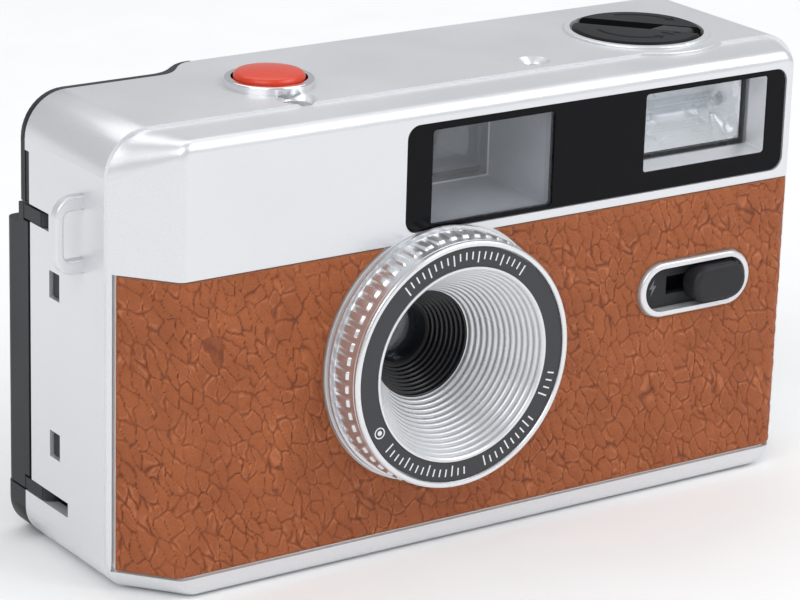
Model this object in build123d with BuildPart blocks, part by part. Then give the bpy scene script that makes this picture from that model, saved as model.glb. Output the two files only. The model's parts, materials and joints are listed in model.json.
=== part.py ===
from build123d import *
import math
import os

os.makedirs("parts", exist_ok=True)

# Compact film camera. X runs along the body, Z is up, the lens looks towards -Y.
# "depth" is measured backwards from the flat front face; the origin is on the
# base, half way along the body and body_mid behind the front face.

# ---- driving dimensions (mm) ----
body_mid = 16.0
wall = 1.8
half_width = 56.0
front_half = 49.2
shoulder_half = 55.6
step_depth = 7.8
front_top = 61.3
plateau_top = 61.7
tube_back = 28.9
upper_back = 33.0
outer_back = 33.3
door_back = 34.15
top_corner = 6.0
base_corner = 4.2
front_corner = 2.0
edge_radius = 1.5

lens_x = -9.7
lens_z = 27.2
ring_radius = 17.3
ring_front = -6.0
cone_mouth = 13.0
cone_throat = 7.5
cone_back = 4.0
cone_steps = 12

skin = 0.6
skin_low = 3.0
skin_high = 43.0
skin_half = 54.9
panel_left, panel_right = -15.5, 48.0
panel_low, panel_high = 44.5, 58.9
finder_left, finder_right = -11.4, 8.3
finder_low, finder_high = 44.95, 57.9
flash_left, flash_right = 23.6, 44.9
flash_low, flash_high = 47.2, 58.2

film_depth = 27.0
gate_width, gate_height = 18.0, 24.0
cassette_x, cassette_depth = 35.4, 18.0
cassette_radius = 12.8
spool_x, spool_depth = -40.2, 18.5
spool_chamber = 11.2
gear_module = 0.6
wind_teeth, sprocket_teeth = 30, 25
gear_distance = gear_module * (wind_teeth + sprocket_teeth) / 2
sprocket_depth = 20.5
sprocket_x = spool_x + math.sqrt(gear_distance**2 - (sprocket_depth - spool_depth) ** 2)
bed_low, bed_high = 3.9, 46.5

button_x, button_depth = -25.5, 18.0
counter_x, counter_depth = -26.2, 10.2
dial_x, dial_depth = -31.4, 10.2
lamp_x, lamp_depth = 12.7, 11.5
knob_radius = 9.1
knob_top = 62.3

switch_x, switch_z = 33.5, 29.85
switch_knob_x = 37.0
battery_left, battery_right = -28.2, 18.2
battery_front, battery_back = 2.6, 13.6
battery_roof = 13.4
door_low, door_high = 7.2, 46.9
door_front = 29.0
hinge_x, hinge_depth = -54.4, 24.4
screw_spots = [(-49.5, 9.0), (49.5, 9.0), (-12.0, 20.5), (14.0, 22.0)]
screw_core = 0.8
plateau_bulge = 12.4
collar_radius = 10.4
button_seat = 5.5
counter_pane = 2.2
lamp_radius = 1.5
eyelet_ends = (42.95, 51.25)
eyelet_depth = 13.6
battery_pin_depth, battery_pin_z = 12.45, 0.95


# ---- placing and shaping helpers ----
def front_plane(depth):
    """Plane seen from the front, a given depth behind the front face."""
    return Plane.XZ.offset(body_mid - depth)


def level(z):
    """Horizontal plane with its origin above the front face's middle."""
    return Plane((0, -body_mid, z))


lens_plane = level(lens_z).shift_origin((lens_x, -body_mid, lens_z))
lens_axis = Axis((lens_x, -body_mid, lens_z), (0, 1, 0))


def block(xs, depths, zs, mode=Mode.ADD):
    """Box between two widths, two depths and two heights."""
    centre = (sum(xs) / 2, sum(depths) / 2 - body_mid, sum(zs) / 2)
    with Locations(centre):
        Box(xs[1] - xs[0], depths[1] - depths[0], zs[1] - zs[0], mode=mode)


def post(x, depth, zs, radius, mode=Mode.ADD):
    """Upright cylinder."""
    with Locations((x, depth - body_mid, sum(zs) / 2)):
        Cylinder(radius, zs[1] - zs[0], mode=mode)


def rod(x, z, depths, radius, mode=Mode.ADD):
    """Cylinder that runs front to back."""
    with Locations((x, sum(depths) / 2 - body_mid, z)):
        Cylinder(radius, depths[1] - depths[0], rotation=(90, 0, 0), mode=mode)


def bar(depth, z, xs, radius, mode=Mode.ADD):
    """Cylinder that runs along the body."""
    with Locations((sum(xs) / 2, depth - body_mid, z)):
        Cylinder(radius, xs[1] - xs[0], rotation=(0, 90, 0), mode=mode)


def outline(depth, half, low, high, top_radius, base_radius):
    """Front view of the body: a rectangle with two corner radii."""
    with BuildSketch(front_plane(depth)) as profile:
        with Locations((0, (low + high) / 2)):
            Rectangle(2 * half, high - low)
        fillet(profile.vertices().group_by(Axis.Y)[-1], top_radius)
        fillet(profile.vertices().group_by(Axis.Y)[0], base_radius)
    return profile.sketch


def window(depth, left, right, low, high, radius):
    """Rounded rectangle seen from the front."""
    with BuildSketch(front_plane(depth)) as profile:
        with Locations(((left + right) / 2, (low + high) / 2)):
            RectangleRounded(right - left, high - low, radius)
    return profile.sketch


def stadium(depth, x, z, length, height):
    """Long slot shape seen from the front."""
    with BuildSketch(front_plane(depth)) as profile:
        with Locations((x, z)):
            SlotOverall(length, height)
    return profile.sketch


def slant_half(depth, inset):
    """Half width of the front block at a depth, moved inwards by inset."""
    slope = (shoulder_half - front_half) / step_depth
    return front_half + slope * depth - inset * math.hypot(1, slope)


def front_block(inset, radius):
    """Front block with its two slanted ends, shrunk all round by inset."""
    near = outline(inset, slant_half(inset, inset), inset, front_top - inset,
                   front_corner - inset, base_corner - inset)
    far = outline(step_depth, slant_half(step_depth, inset), inset, front_top - inset,
                  top_corner - inset, base_corner - inset)
    with BuildPart() as shape:
        loft([near, far])
        if radius:
            fillet(shape.faces().sort_by(Axis.Y)[0].edges(), radius)
    return shape.part


def front_skin(thickness, margin):
    """Layer of the front block that the covering fills, or its recess with a margin."""
    with BuildPart() as shape:
        add(front_block(0, edge_radius))
        add(front_block(thickness, edge_radius - thickness), mode=Mode.SUBTRACT)
        reach = skin_half + margin
        centre = (0, 3.5 - body_mid, (skin_low + skin_high) / 2)
        height = skin_high - skin_low + 2 * margin
        with Locations(centre):
            Box(2 * reach, 8.6, height, mode=Mode.INTERSECT)
        rod(lens_x, lens_z, (-1, 9), 18.15 - margin, Mode.SUBTRACT)
    return shape.part


def gear_outline(plane, teeth, module, phase):
    """Toothed disc with straight-sided teeth and room for running."""
    pitch = teeth * module / 2
    root, tip = pitch - 1.25 * module, pitch + 0.9 * module
    step = 360 / teeth
    points = []
    for tooth in range(teeth):
        middle = phase + tooth * step
        for radius, share in ((root, -0.33), (tip, -0.13), (tip, 0.13), (root, 0.33)):
            angle = math.radians(middle + share * step)
            points.append((radius * math.cos(angle), radius * math.sin(angle)))
    with BuildSketch(plane) as profile:
        with BuildLine():
            Polyline(*points, close=True)
        make_face()
    return profile.sketch


def crown(radius, sag):
    """How far a round surface has fallen half way out, when it falls by sag at its edge."""
    curve = (radius**2 + sag**2) / (2 * sag)
    return curve - math.sqrt(curve**2 - radius**2 / 4)


def round_lens(radius, depths, sag):
    """Lens element on the lens axis: flat at the first depth, crowned at the second."""
    flat, top = depths
    rim = top - math.copysign(sag, top - flat)
    middle = top - math.copysign(crown(radius, sag), top - flat)
    with BuildPart() as glass:
        with BuildSketch(lens_plane):
            with BuildLine():
                Polyline((0, top), (0, flat), (radius, flat), (radius, rim))
                ThreePointArc((radius, rim), (radius / 2, middle), (0, top))
            make_face()
        revolve(axis=lens_axis)
    return glass.part


def coil(plane, radius, wire, turns, height):
    """Compression spring with its axis along the plane's normal."""
    with BuildPart() as spring:
        with BuildLine(plane) as path:
            Helix(height / turns, height, radius)
        with BuildSketch(Plane(path.edge() @ 0, z_dir=path.edge() % 0)):
            Circle(wire / 2)
        sweep(path=path.edge())
    return spring.part


def save(builder, name):
    """Label a finished piece and write it out."""
    builder.part.label = name
    export_step(builder.part, f"parts/{name}.step")


# plan of the raised back: low behind the thumb wheel, full depth behind the finder
dip_start, dip_end = -36.0, -28.0
low_back, cover_back = 28.5, 29.6


def raised_back_cut(start, end, near, far):
    """Plan area behind the S-shaped edge that steps the back down beside the wheel."""
    with BuildSketch(level(46.0)) as plan:
        with BuildLine():
            rise = Spline((start, near), (end, far), tangents=[(1, 0), (1, 0)])
            Polyline(rise @ 1, (end, 40), (-60, 40), (-60, near), rise @ 0)
        make_face()
    return plan.sketch


# ---- silver body shell ----
with BuildPart() as body_shell:
    add(front_block(0, edge_radius))
    extrude(outline(step_depth, half_width, 0, plateau_top, top_corner, base_corner + 0.3),
            amount=step_depth - upper_back)
    block((-60, 60), (tube_back, 40), (-1, 47.3), Mode.SUBTRACT)
    extrude(raised_back_cut(dip_start, dip_end, low_back, upper_back), amount=20,
            mode=Mode.SUBTRACT)
    # plateau bulges forward round the rewind knob
    post(cassette_x, cassette_depth, (front_top - 1, plateau_top), plateau_bulge)
    fillet(body_shell.edges().filter_by(GeomType.CIRCLE).filter_by(
        lambda e: abs(e.radius - plateau_bulge) < 0.01).group_by(Axis.Z)[-1], 0.25)
    # hollow
    add(front_block(wall, 0), mode=Mode.SUBTRACT)
    extrude(outline(step_depth - 0.6, half_width - wall, wall, plateau_top - wall,
                    top_corner - wall, base_corner - wall),
            amount=step_depth - 0.6 - 40, mode=Mode.SUBTRACT)
    # recess for the covering, with a boss left round the lens
    add(front_skin(skin, 0.25), mode=Mode.SUBTRACT)
    # recess and openings behind the window panel
    extrude(window(-1, panel_left - 0.12, panel_right + 0.12, panel_low - 0.12,
                   panel_high + 0.12, 1.9), amount=-2.25, mode=Mode.SUBTRACT)
    extrude(window(-1, finder_left - 0.45, finder_right + 0.45, finder_low - 0.3,
                   finder_high + 0.45, 0.8), amount=-4, mode=Mode.SUBTRACT)
    extrude(window(-1, flash_left - 0.5, flash_right + 0.5, flash_low - 0.45,
                   flash_high + 0.4, 0.8), amount=-4, mode=Mode.SUBTRACT)
    # lens, switch and slots
    rod(lens_x, lens_z, (-2, 5), 11.6, Mode.SUBTRACT)
    extrude(stadium(-1, switch_x, switch_z, 17.5, 6.2), amount=-4, mode=Mode.SUBTRACT)
    # rewind knob well with its raised collar
    post(cassette_x, cassette_depth, (58.4, 60.5), 10.6)
    post(cassette_x, cassette_depth, (60.5, 62.05), collar_radius)
    fillet(body_shell.edges().filter_by(GeomType.CIRCLE).filter_by(
        lambda e: abs(e.radius - collar_radius) < 0.01).group_by(Axis.Z)[-1], 0.3)
    post(cassette_x, cassette_depth, (59.4, 63), knob_radius + 0.35, Mode.SUBTRACT)
    post(cassette_x, cassette_depth, (57, 60), 3.1, Mode.SUBTRACT)
    # shutter button, frame counter and ready lamp
    post(button_x, button_depth, (59, 63), button_seat, Mode.SUBTRACT)
    post(counter_x, counter_depth, (59, 63), counter_pane, Mode.SUBTRACT)
    with Locations((counter_x, counter_depth - body_mid, plateau_top - 0.45)):
        Cone(counter_pane, counter_pane + 0.55, 0.9, mode=Mode.SUBTRACT)
    post(lamp_x, lamp_depth, (59, 63), lamp_radius, Mode.SUBTRACT)
    with Locations((lamp_x, lamp_depth - body_mid, plateau_top - 0.45)):
        Cone(lamp_radius, lamp_radius + 0.8, 0.9, mode=Mode.SUBTRACT)
    # hinge side: slots for the door's arms, snap windows, lug holes
    block((-58, -52), (27.2, 30), (6.95, 47.3), Mode.SUBTRACT)
    block((-58, -54), (22.2, 28), (44.9, 47.3), Mode.SUBTRACT)
    block((-58, -54), (17.3, 28), (6.95, 9.0), Mode.SUBTRACT)
    for low in (14.1, 36.1):
        block((-58, -54), (19.4, 22.1), (low, low + 3.7), Mode.SUBTRACT)
        block((54, 58), (19.4, 22.1), (low, low + 3.7), Mode.SUBTRACT)
    for z in eyelet_ends:
        bar(eyelet_depth, z, (-57, -53), 0.6, Mode.SUBTRACT)
    # notch in the rear edge that shows the black cover
    block((-58, -half_width + wall), (27.4, 30), (47.2, 54.3), Mode.SUBTRACT)
    # bosses for the hinge pins
    for low, high in ((42.6, 44.85), (47.35, 49.3), (4.6, 6.9), (9.05, 11.2)):
        block((-55.0, -52.9), (22.9, 26.0), (low, high))
        post(hinge_x, hinge_depth, (low - 0.1, high + 0.1), 0.75, Mode.SUBTRACT)
    # latch slot on the other side
    block((53, 58), (22.2, 25.8), (21.7, 31.6), Mode.SUBTRACT)
    # base: battery door, rewind release, screws
    block((-26.2, 17.2), (3.0, 13.6), (-1, 2.6), Mode.SUBTRACT)
    bar(battery_pin_depth, battery_pin_z, (-27.6, 18.6), 0.5, Mode.SUBTRACT)
    post(sprocket_x, sprocket_depth, (-1, 3), 2.4, Mode.SUBTRACT)
    for x, depth in screw_spots:
        post(x, depth, (-1, 1.0), 1.9, Mode.SUBTRACT)
        post(x, depth, (-1, 3), 0.85, Mode.SUBTRACT)
save(body_shell, "body_shell")

# ---- leatherette covering ----
with BuildPart() as leather_panel:
    add(front_skin(skin, 0))
    extrude(stadium(-1, switch_x, switch_z, 19.7, 8.2), amount=-4, mode=Mode.SUBTRACT)
save(leather_panel, "leather_panel")

# ---- window panel and viewfinder ----
with BuildPart() as window_panel:
    extrude(window(0.25, panel_left, panel_right, panel_low, panel_high, 1.8), amount=-1.0)
    extrude(window(0, finder_left, finder_right, finder_low, finder_high, 0.5),
            amount=-2, mode=Mode.SUBTRACT)
    extrude(window(0, flash_left, flash_right, flash_low, flash_high, 0.5),
            amount=-2, mode=Mode.SUBTRACT)
save(window_panel, "window_panel")

with BuildPart() as finder_window:
    extrude(window(0.5, finder_left + 0.05, finder_right - 0.05, finder_low + 0.05,
                   finder_high - 0.05, 0.45), amount=-0.7)
save(finder_window, "finder_window")

finder_lens_depth = 12.5
neck_outer = window(finder_lens_depth, finder_left + 1.2, finder_right - 1.2, 45.5, 57.3, 0.6)
neck_inner = window(finder_lens_depth, finder_left + 1.8, finder_right - 1.8, 46.1, 56.7, 0.4)
with BuildPart() as finder_housing:
    loft([window(1.25, finder_left - 0.4, finder_right + 0.4, finder_low - 0.25,
                 finder_high + 0.4, 0.6), neck_outer])
    loft([window(1.25, finder_left, finder_right, finder_low, finder_high, 0.4), neck_inner],
         mode=Mode.SUBTRACT)
    # pocket that holds the front finder lens
    extrude(neck_outer, amount=-2.0)
    extrude(neck_inner, amount=-2.0, mode=Mode.SUBTRACT)
save(finder_housing, "finder_housing")

eye_x, eye_z = -1.5, 51.6
with BuildPart() as finder_front_lens:
    extrude(window(finder_lens_depth + 0.1, finder_left + 1.85, finder_right - 1.85,
                   46.15, 56.65, 0.35), amount=-1.8)
    with Locations((eye_x, finder_lens_depth + 0.1 - 13.2 - body_mid, eye_z)):
        Sphere(14.0, mode=Mode.SUBTRACT)
save(finder_front_lens, "finder_front_lens")

with BuildPart() as finder_tube:
    loft([window(14.5, eye_x - 8.1, eye_x + 8.1, 47.0, 56.7, 0.5),
          window(31.5, eye_x - 5.2, eye_x + 5.2, 47.5, 55.6, 0.5)])
    loft([window(14.5, eye_x - 7.5, eye_x + 7.5, 47.6, 56.1, 0.4),
          window(31.5, eye_x - 4.6, eye_x + 4.6, 48.1, 55.0, 0.4)], mode=Mode.SUBTRACT)
save(finder_tube, "finder_tube")

with BuildPart() as eyepiece_lens:
    extrude(window(31.6, eye_x - 4.5, eye_x + 4.5, eye_z - 3.3, eye_z + 3.3, 0.8),
            amount=-1.1)
    with Locations((eye_x, 32.7 - 29.6 - body_mid, eye_z)):
        Sphere(30.0, mode=Mode.INTERSECT)
save(eyepiece_lens, "eyepiece_lens")

# ---- flash ----
flash_x = (flash_left + flash_right) / 2
flash_z = (flash_low + flash_high) / 2
with BuildPart() as flash_frame:
    extrude(window(1.25, flash_left - 0.45, flash_right + 0.45, flash_low - 0.4,
                   flash_high + 0.35, 0.7), amount=-3.0)
    loft([window(1.25, flash_left, flash_right, flash_low, flash_high, 0.5),
          window(3.2, flash_left + 0.5, flash_right - 0.5, flash_low + 0.5,
                 flash_high - 0.5, 0.5)], mode=Mode.SUBTRACT)
    extrude(window(3.2, flash_left + 0.5, flash_right - 0.5, flash_low + 0.5,
                   flash_high - 0.5, 0.5), amount=-2, mode=Mode.SUBTRACT)
save(flash_frame, "flash_frame")

rib_pitch = 0.95
with BuildPart() as flash_lens:
    extrude(window(3.55, flash_left + 0.6, flash_right - 0.6, flash_low + 0.6,
                   flash_high - 0.6, 0.4), amount=-0.65)
    for row in range(-4, 5):
        block((flash_left + 1.4, flash_right - 1.4), (3.4, 3.6),
              (flash_z + row * rib_pitch - 0.22, flash_z + row * rib_pitch + 0.22))
save(flash_lens, "flash_lens")

# the reflector narrows from its mouth to a trough behind the tube
trough_outer = window(6.5, flash_left + 2.6, flash_right - 2.6, 51.1, 56.4, 0.4)
trough_inner = window(6.4, flash_left + 3.0, flash_right - 3.0, 51.6, 56.0, 0.3)
with BuildPart() as flash_reflector:
    loft([window(4.3, flash_left + 0.9, flash_right - 0.9, flash_low + 0.9,
                 flash_high - 0.7, 0.4), trough_outer], ruled=True)
    extrude(trough_outer, amount=-2.4)
    loft([window(4.3, flash_left + 1.3, flash_right - 1.3, flash_low + 1.3,
                 flash_high - 1.1, 0.3), trough_inner], ruled=True, mode=Mode.SUBTRACT)
    extrude(trough_inner, amount=-2.0, mode=Mode.SUBTRACT)
save(flash_reflector, "flash_reflector")

with BuildPart() as flash_tube:
    bar(7.2, 53.8, (flash_left + 3.05, flash_right - 3.05), 1.1)
save(flash_tube, "flash_tube")

with BuildPart() as flash_capacitor:
    post(12.5, 8.6, (16.0, 42.0), 4.0)
    fillet(flash_capacitor.edges().filter_by(GeomType.CIRCLE), 0.5)
save(flash_capacitor, "flash_capacitor")

with BuildPart() as circuit_board:
    block((3.5, 20.3), (17.2, 18.4), (15.5, 43.0))
    block((5.5, 11.5), (14.0, 17.2), (33.0, 40.0))
    block((13.5, 18.5), (14.8, 17.2), (19.0, 24.0))
save(circuit_board, "circuit_board")

# ---- lens ----
knurls = 56
with BuildPart() as lens_ring:
    with BuildSketch(lens_plane):
        with BuildLine():
            Polyline((13.5, 0), (17.65, 0), (17.65, -0.8), (ring_radius, -1.0),
                     (ring_radius, -4.9), (17.0, -5.3), (16.9, ring_front + 0.2),
                     (16.7, ring_front), (16.25, ring_front), (16.15, ring_front + 0.3),
                     (16.15, -5.2), (13.5, -5.2), close=True)
        make_face()
    revolve(axis=lens_axis)
    # knurl: shallow flutes along the side, seen as narrow facets
    with BuildSketch(front_plane(-1.2)) as flutes:
        with Locations((lens_x, lens_z)):
            with PolarLocations(ring_radius + 0.12, knurls):
                Rectangle(0.9, 1.05, rotation=45)
    extrude(flutes.sketch, amount=3.6, mode=Mode.SUBTRACT)
save(lens_ring, "lens_ring")

with BuildPart() as name_ring:
    with BuildSketch(lens_plane):
        with BuildLine():
            Polyline((13.5, -5.2), (16.1, -5.2), (16.1, -5.65), (13.5, -5.65), close=True)
        make_face()
    revolve(axis=lens_axis)
save(name_ring, "name_ring")

step_radius = (cone_mouth - cone_throat) / cone_steps
step_length = (cone_back - ring_front - 0.2) / cone_steps
cone_points = []
for step in range(cone_steps):
    radius = cone_mouth - step * step_radius
    depth = ring_front + 0.2 + step * step_length
    cone_points += [(radius, depth), (radius - 0.62 * step_radius, depth + 0.72 * step_length)]
with BuildPart() as cone_baffle:
    with BuildSketch(lens_plane):
        with BuildLine():
            Polyline(*cone_points, (cone_throat, cone_back), (cone_throat + 1.1, cone_back),
                     (13.45, ring_front + 1.3), (13.45, ring_front + 0.1),
                     (13.1, ring_front + 0.1), close=True)
        make_face()
    revolve(axis=lens_axis)
save(cone_baffle, "cone_baffle")

with BuildPart() as inner_cone:
    with BuildSketch(lens_plane):
        with BuildLine():
            Polyline((7.4, cone_back), (6.9, 4.0), (6.9, 5.2), (6.2, 5.2), (6.2, 6.4),
                     (5.4, 6.4), (5.4, 7.6), (4.6, 7.6), (4.6, 8.9), (8.4, 8.9),
                     (8.4, cone_back), close=True)
        make_face()
    revolve(axis=lens_axis)
save(inner_cone, "inner_cone")

with BuildPart() as lens_holder:
    rod(lens_x, lens_z, (8.9, 13.6), 8.4)
    rod(lens_x, lens_z, (8.0, 11.9), 4.1, Mode.SUBTRACT)
    rod(lens_x, lens_z, (11.0, 14.0), 3.2, Mode.SUBTRACT)
save(lens_holder, "lens_holder")

with BuildPart() as front_lens:
    add(round_lens(4.05, (10.9, 8.95), 0.8))
save(front_lens, "front_lens")

with BuildPart() as aperture_plate:
    rod(lens_x, lens_z, (11.2, 11.6), 4.0)
    rod(lens_x, lens_z, (11.0, 12.0), 1.25, Mode.SUBTRACT)
save(aperture_plate, "aperture_plate")

with BuildPart() as rear_lens:
    add(round_lens(3.15, (12.0, 13.4), 0.55))
save(rear_lens, "rear_lens")

# ---- shutter ----
pivot_x, pivot_z = lens_x + 7.4, lens_z + 6.0
with BuildPart() as shutter_plate:
    block((lens_x - 10.5, lens_x + 10.5), (13.6, 14.3), (lens_z - 10.5, lens_z + 10.5))
    rod(lens_x, lens_z, (13, 15), 3.2, Mode.SUBTRACT)
    rod(pivot_x, pivot_z, (14.3, 15.9), 0.7)
save(shutter_plate, "shutter_plate")

with BuildPart() as shutter_blade:
    with BuildSketch(front_plane(14.75)):
        with Locations((lens_x, lens_z)):
            Circle(4.2)
        with BuildLine():
            Polyline((lens_x, lens_z + 4.2), (pivot_x - 1.2, pivot_z + 1.4),
                     (pivot_x + 1.5, pivot_z - 1.2), (lens_x + 4.0, lens_z - 1.2), close=True)
        make_face()
        with Locations((pivot_x, pivot_z)):
            Circle(1.9)
            Circle(0.76, mode=Mode.SUBTRACT)
    extrude(amount=0.3)
save(shutter_blade, "shutter_blade")

# ---- inner chassis with film bed, chambers, light tunnel and battery box ----
def chamber(x, depth, inner, thickness, zs):
    """Round-fronted chamber, open towards the film bed, with straight side walls."""
    with BuildPart() as shape:
        post(x, depth, zs, inner + thickness)
        block((x - inner - thickness, x + inner + thickness), (depth, film_depth), zs)
        post(x, depth, (zs[0] + 1, zs[1] - 1), inner, Mode.SUBTRACT)
        block((x - inner, x + inner), (depth, film_depth + 1), (zs[0] + 1, zs[1] - 1),
              Mode.SUBTRACT)
        block((x - 20, x + 20), (film_depth, film_depth + 20), zs, Mode.SUBTRACT)
    return shape.part


with BuildPart() as chassis:
    block((-52.2, 49.0), (8.2, film_depth), (2.9, 3.9))
    block((-30.0, 23.0), (25.4, film_depth), (bed_low, bed_high))
    add(chamber(spool_x, spool_depth, spool_chamber, 0.8, (2.9, 47.0)))
    add(chamber(cassette_x, cassette_depth, cassette_radius, 0.8, (3.9, 50.7)))
    block((-30.0, -18.9), (14.0, film_depth), (46.0, 47.0))
    # light tunnel
    tunnel_front = [window(15.4, lens_x - 4.2, lens_x + 4.2, lens_z - 4.2, lens_z + 4.2, 0.5),
                    window(25.6, lens_x - 10.2, lens_x + 10.2, lens_z - 13.2, lens_z + 13.2, 0.5)]
    loft(tunnel_front)
    block((lens_x - 10.5, lens_x + 10.5), (15.2, 16.2), (lens_z - 10.5, lens_z + 10.5))
    tunnel_space = [window(15.2, lens_x - 3.4, lens_x + 3.4, lens_z - 3.4, lens_z + 3.4, 0.4),
                    window(film_depth, lens_x - gate_width / 2, lens_x + gate_width / 2,
                           lens_z - gate_height / 2, lens_z + gate_height / 2, 0.4)]
    loft(tunnel_space, mode=Mode.SUBTRACT)
    rod(pivot_x, pivot_z, (14, 16.5), 0.95, Mode.SUBTRACT)
    # battery box, open at the base
    block((battery_left - 0.8, battery_right + 0.8), (battery_front - 0.7, battery_back + 0.7),
          (1.9, battery_roof + 0.8))
    block((battery_left, battery_right), (battery_front, battery_back), (0, battery_roof),
          Mode.SUBTRACT)
    # board posts, sprocket bearing, screw posts
    for x, z in ((6.0, 18.0), (17.5, 40.5)):
        rod(x, z, (18.4, 26.0), 1.3)
    post(sprocket_x, sprocket_depth, (3.9, 9.0), 2.6)
    for x, depth in screw_spots:
        post(x, depth, (1.85, 8.5), 2.0)
        if abs(x) > 40:
            block((min(x, 0.93 * x), max(x, 0.93 * x)), (depth, depth + 4.0), (2.9, 3.9))
        post(x, depth, (1, 8.0), screw_core, Mode.SUBTRACT)
    # running holes
    post(sprocket_x, sprocket_depth, (2, 50), 1.26, Mode.SUBTRACT)
    post(sprocket_x, sprocket_depth, (2, 4.2), 2.4, Mode.SUBTRACT)
    post(spool_x, spool_depth, (2, 50), 1.66, Mode.SUBTRACT)
    post(cassette_x, cassette_depth, (48, 52), 3.1, Mode.SUBTRACT)
    post(cassette_x, cassette_depth, (2, 4.95), 5.6, Mode.SUBTRACT)
    # room for the sprocket, the flash and the release stem
    block((-31.5, -18.95), (13.5, 27.5), (39.6, 44.0), Mode.SUBTRACT)
    block((25, 46), (3, 9), (46.9, 51), Mode.SUBTRACT)
save(chassis, "chassis")

# ---- rear cover ----
with BuildPart() as cover_ring:
    extrude(outline(27.3, half_width - wall - 0.15, wall + 0.15, plateau_top - wall - 0.15, 4.3,
                    2.7), amount=-1.5)
    block((-51.6, 50.6), (27, 30), (8.6, 45.6), Mode.SUBTRACT)
    block((-58, -53.2), (27, 30), (6.0, 49.0), Mode.SUBTRACT)
    block((52.4, 58), (27, 30), (15.0, 33.0), Mode.SUBTRACT)
    block((24, 47), (27, 29), (58.2, 60), Mode.SUBTRACT)
    # room for the finder tube
    block((-10, 9), (27, 30), (46.4, 58.5), Mode.SUBTRACT)
    # deep bar below the door
    extrude(outline(28.95, half_width, 0, plateau_top, top_corner, base_corner + 0.3),
            amount=28.95 - door_back)
    block((-60, 60), (28.9, 40), (6.9, 70), Mode.SUBTRACT)
    fillet(cover_ring.edges().filter_by(Axis.X).group_by(Axis.Z)[0].sort_by(Axis.Y)[-1], 1.2)
    block((-53.0, 53.0), (28.6, 29.2), (2.6, 6.8))
with BuildPart() as upper_panel:
    extrude(outline(low_back, half_width, 0, plateau_top, top_corner, base_corner),
            amount=low_back - outer_back)
    block((-60, 60), (20, 40), (-1, 47.3), Mode.SUBTRACT)
    extrude(raised_back_cut(dip_start - 0.6, dip_end - 0.6, cover_back, outer_back),
            amount=20, mode=Mode.SUBTRACT)
    add(body_shell.part, mode=Mode.SUBTRACT)
    block((-26.5, 54.05), (20, 31.6), (47, 59.75), Mode.SUBTRACT)
    block((54.05, 60), (20, 40), (47, 70), Mode.SUBTRACT)
    block((-28.5, 60), (20, 40), (59.75, 70), Mode.SUBTRACT)
with BuildPart() as rear_cover:
    add(cover_ring.part)
    add(upper_panel.part)
    # tab that fills the notch in the shell's hinge-side edge
    block((-half_width + 0.1, -half_width + wall - 0.1), (27.5, low_back + 0.3), (47.5, 54.1))
    # walls that join the deep upper panel to the inner ring
    block((-28.0, 54.0), (28.0, 32.0), (47.35, 48.4))
    post(spool_x, spool_depth, (49.1, 53.9), 12.4, Mode.SUBTRACT)
    post(spool_x, spool_depth, (47.0, 49.3), 10.0, Mode.SUBTRACT)
    post(sprocket_x, sprocket_depth, (47.2, 49.3), 8.4, Mode.SUBTRACT)
    extrude(window(30, eye_x - 4.55, eye_x + 4.55, eye_z - 3.35, eye_z + 3.35, 0.85),
            amount=-5, mode=Mode.SUBTRACT)
    block((eye_x - 6.5, eye_x + 6.5), (27, 31.6), (47.0, 56.0), Mode.SUBTRACT)
    # snap hooks that show in the side windows
    for low in (14.4, 36.4):
        for side in (-1, 1):
            block(sorted((side * 53.0, side * 53.9)), (19.7, 27.5), (low, low + 3.1))
            block(sorted((side * 53.8, side * 55.5)), (19.6, 21.9), (low - 0.1, low + 3.2))
save(rear_cover, "rear_cover")

# ---- film door with its hinge arms ----
with BuildPart() as film_door:
    block((-half_width, half_width), (door_front, door_back), (door_low, door_high))
    fillet(film_door.edges().filter_by(Axis.Z).group_by(Axis.Y)[-1], 1.5)
    block((-60, -33), (30.3, 40), (44.0, 50), Mode.SUBTRACT)
    block((-31.2, 54.0), (28, 31.3), (door_low + 1.8, door_high - 1.8), Mode.SUBTRACT)
    block((-53.6, -31.2), (28, 31.3), (door_low + 1.8, 42.2), Mode.SUBTRACT)
    block((-half_width, hinge_x), (hinge_depth + 3.4, door_front + 0.5), (9.2, 44.7))
    for low, high in ((7.2, 8.85), (45.0, 46.9)):
        block((-55.95, -53.5), (hinge_depth, door_front + 0.5), (low, high))
        post(hinge_x, hinge_depth, (low, high), 1.5)
        post(hinge_x, hinge_depth, (low - 1, high + 1), 0.82, Mode.SUBTRACT)
    # stiffening ribs inside
    for x in (-44.0, 24.0, 46.0):
        block((x - 0.5, x + 0.5), (30.6, 31.4), (11.0, 43.0))
    # catch for the latch
    block((53.0, 53.9), (26.2, 31.5), (17.7, 18.8))
    block((53.0, 54.5), (door_front, 31.5), (17.7, 18.8))
save(film_door, "film_door")

with BuildPart() as hinge_pins:
    post(hinge_x, hinge_depth, (42.8, 49.2), 0.75)
    post(hinge_x, hinge_depth, (4.8, 11.0), 0.75)
save(hinge_pins, "hinge_pins")

plate_left, plate_right = -24.0, 5.0
with BuildPart() as pressure_plate:
    block((plate_left, plate_right), (film_depth + 0.35, film_depth + 1.35), (9.4, 45.0))
    fillet(pressure_plate.edges().filter_by(Axis.Y), 1.5)
    for z in (18.0, 36.0):
        rod(lens_x, z, (film_depth + 1.2, film_depth + 2.4), 1.5)
save(pressure_plate, "pressure_plate")

with BuildPart() as plate_spring:
    with BuildSketch(level(25.0)):
        with BuildLine():
            ThreePointArc((-20.0, 31.2), (lens_x, 29.0), (0.6, 31.2))
            ThreePointArc((-20.0, 31.29), (lens_x, 29.25), (0.6, 31.29))
            Line((-20.0, 31.2), (-20.0, 31.29))
            Line((0.6, 31.2), (0.6, 31.29))
        make_face()
    extrude(amount=5.0)
save(plate_spring, "plate_spring")

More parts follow.
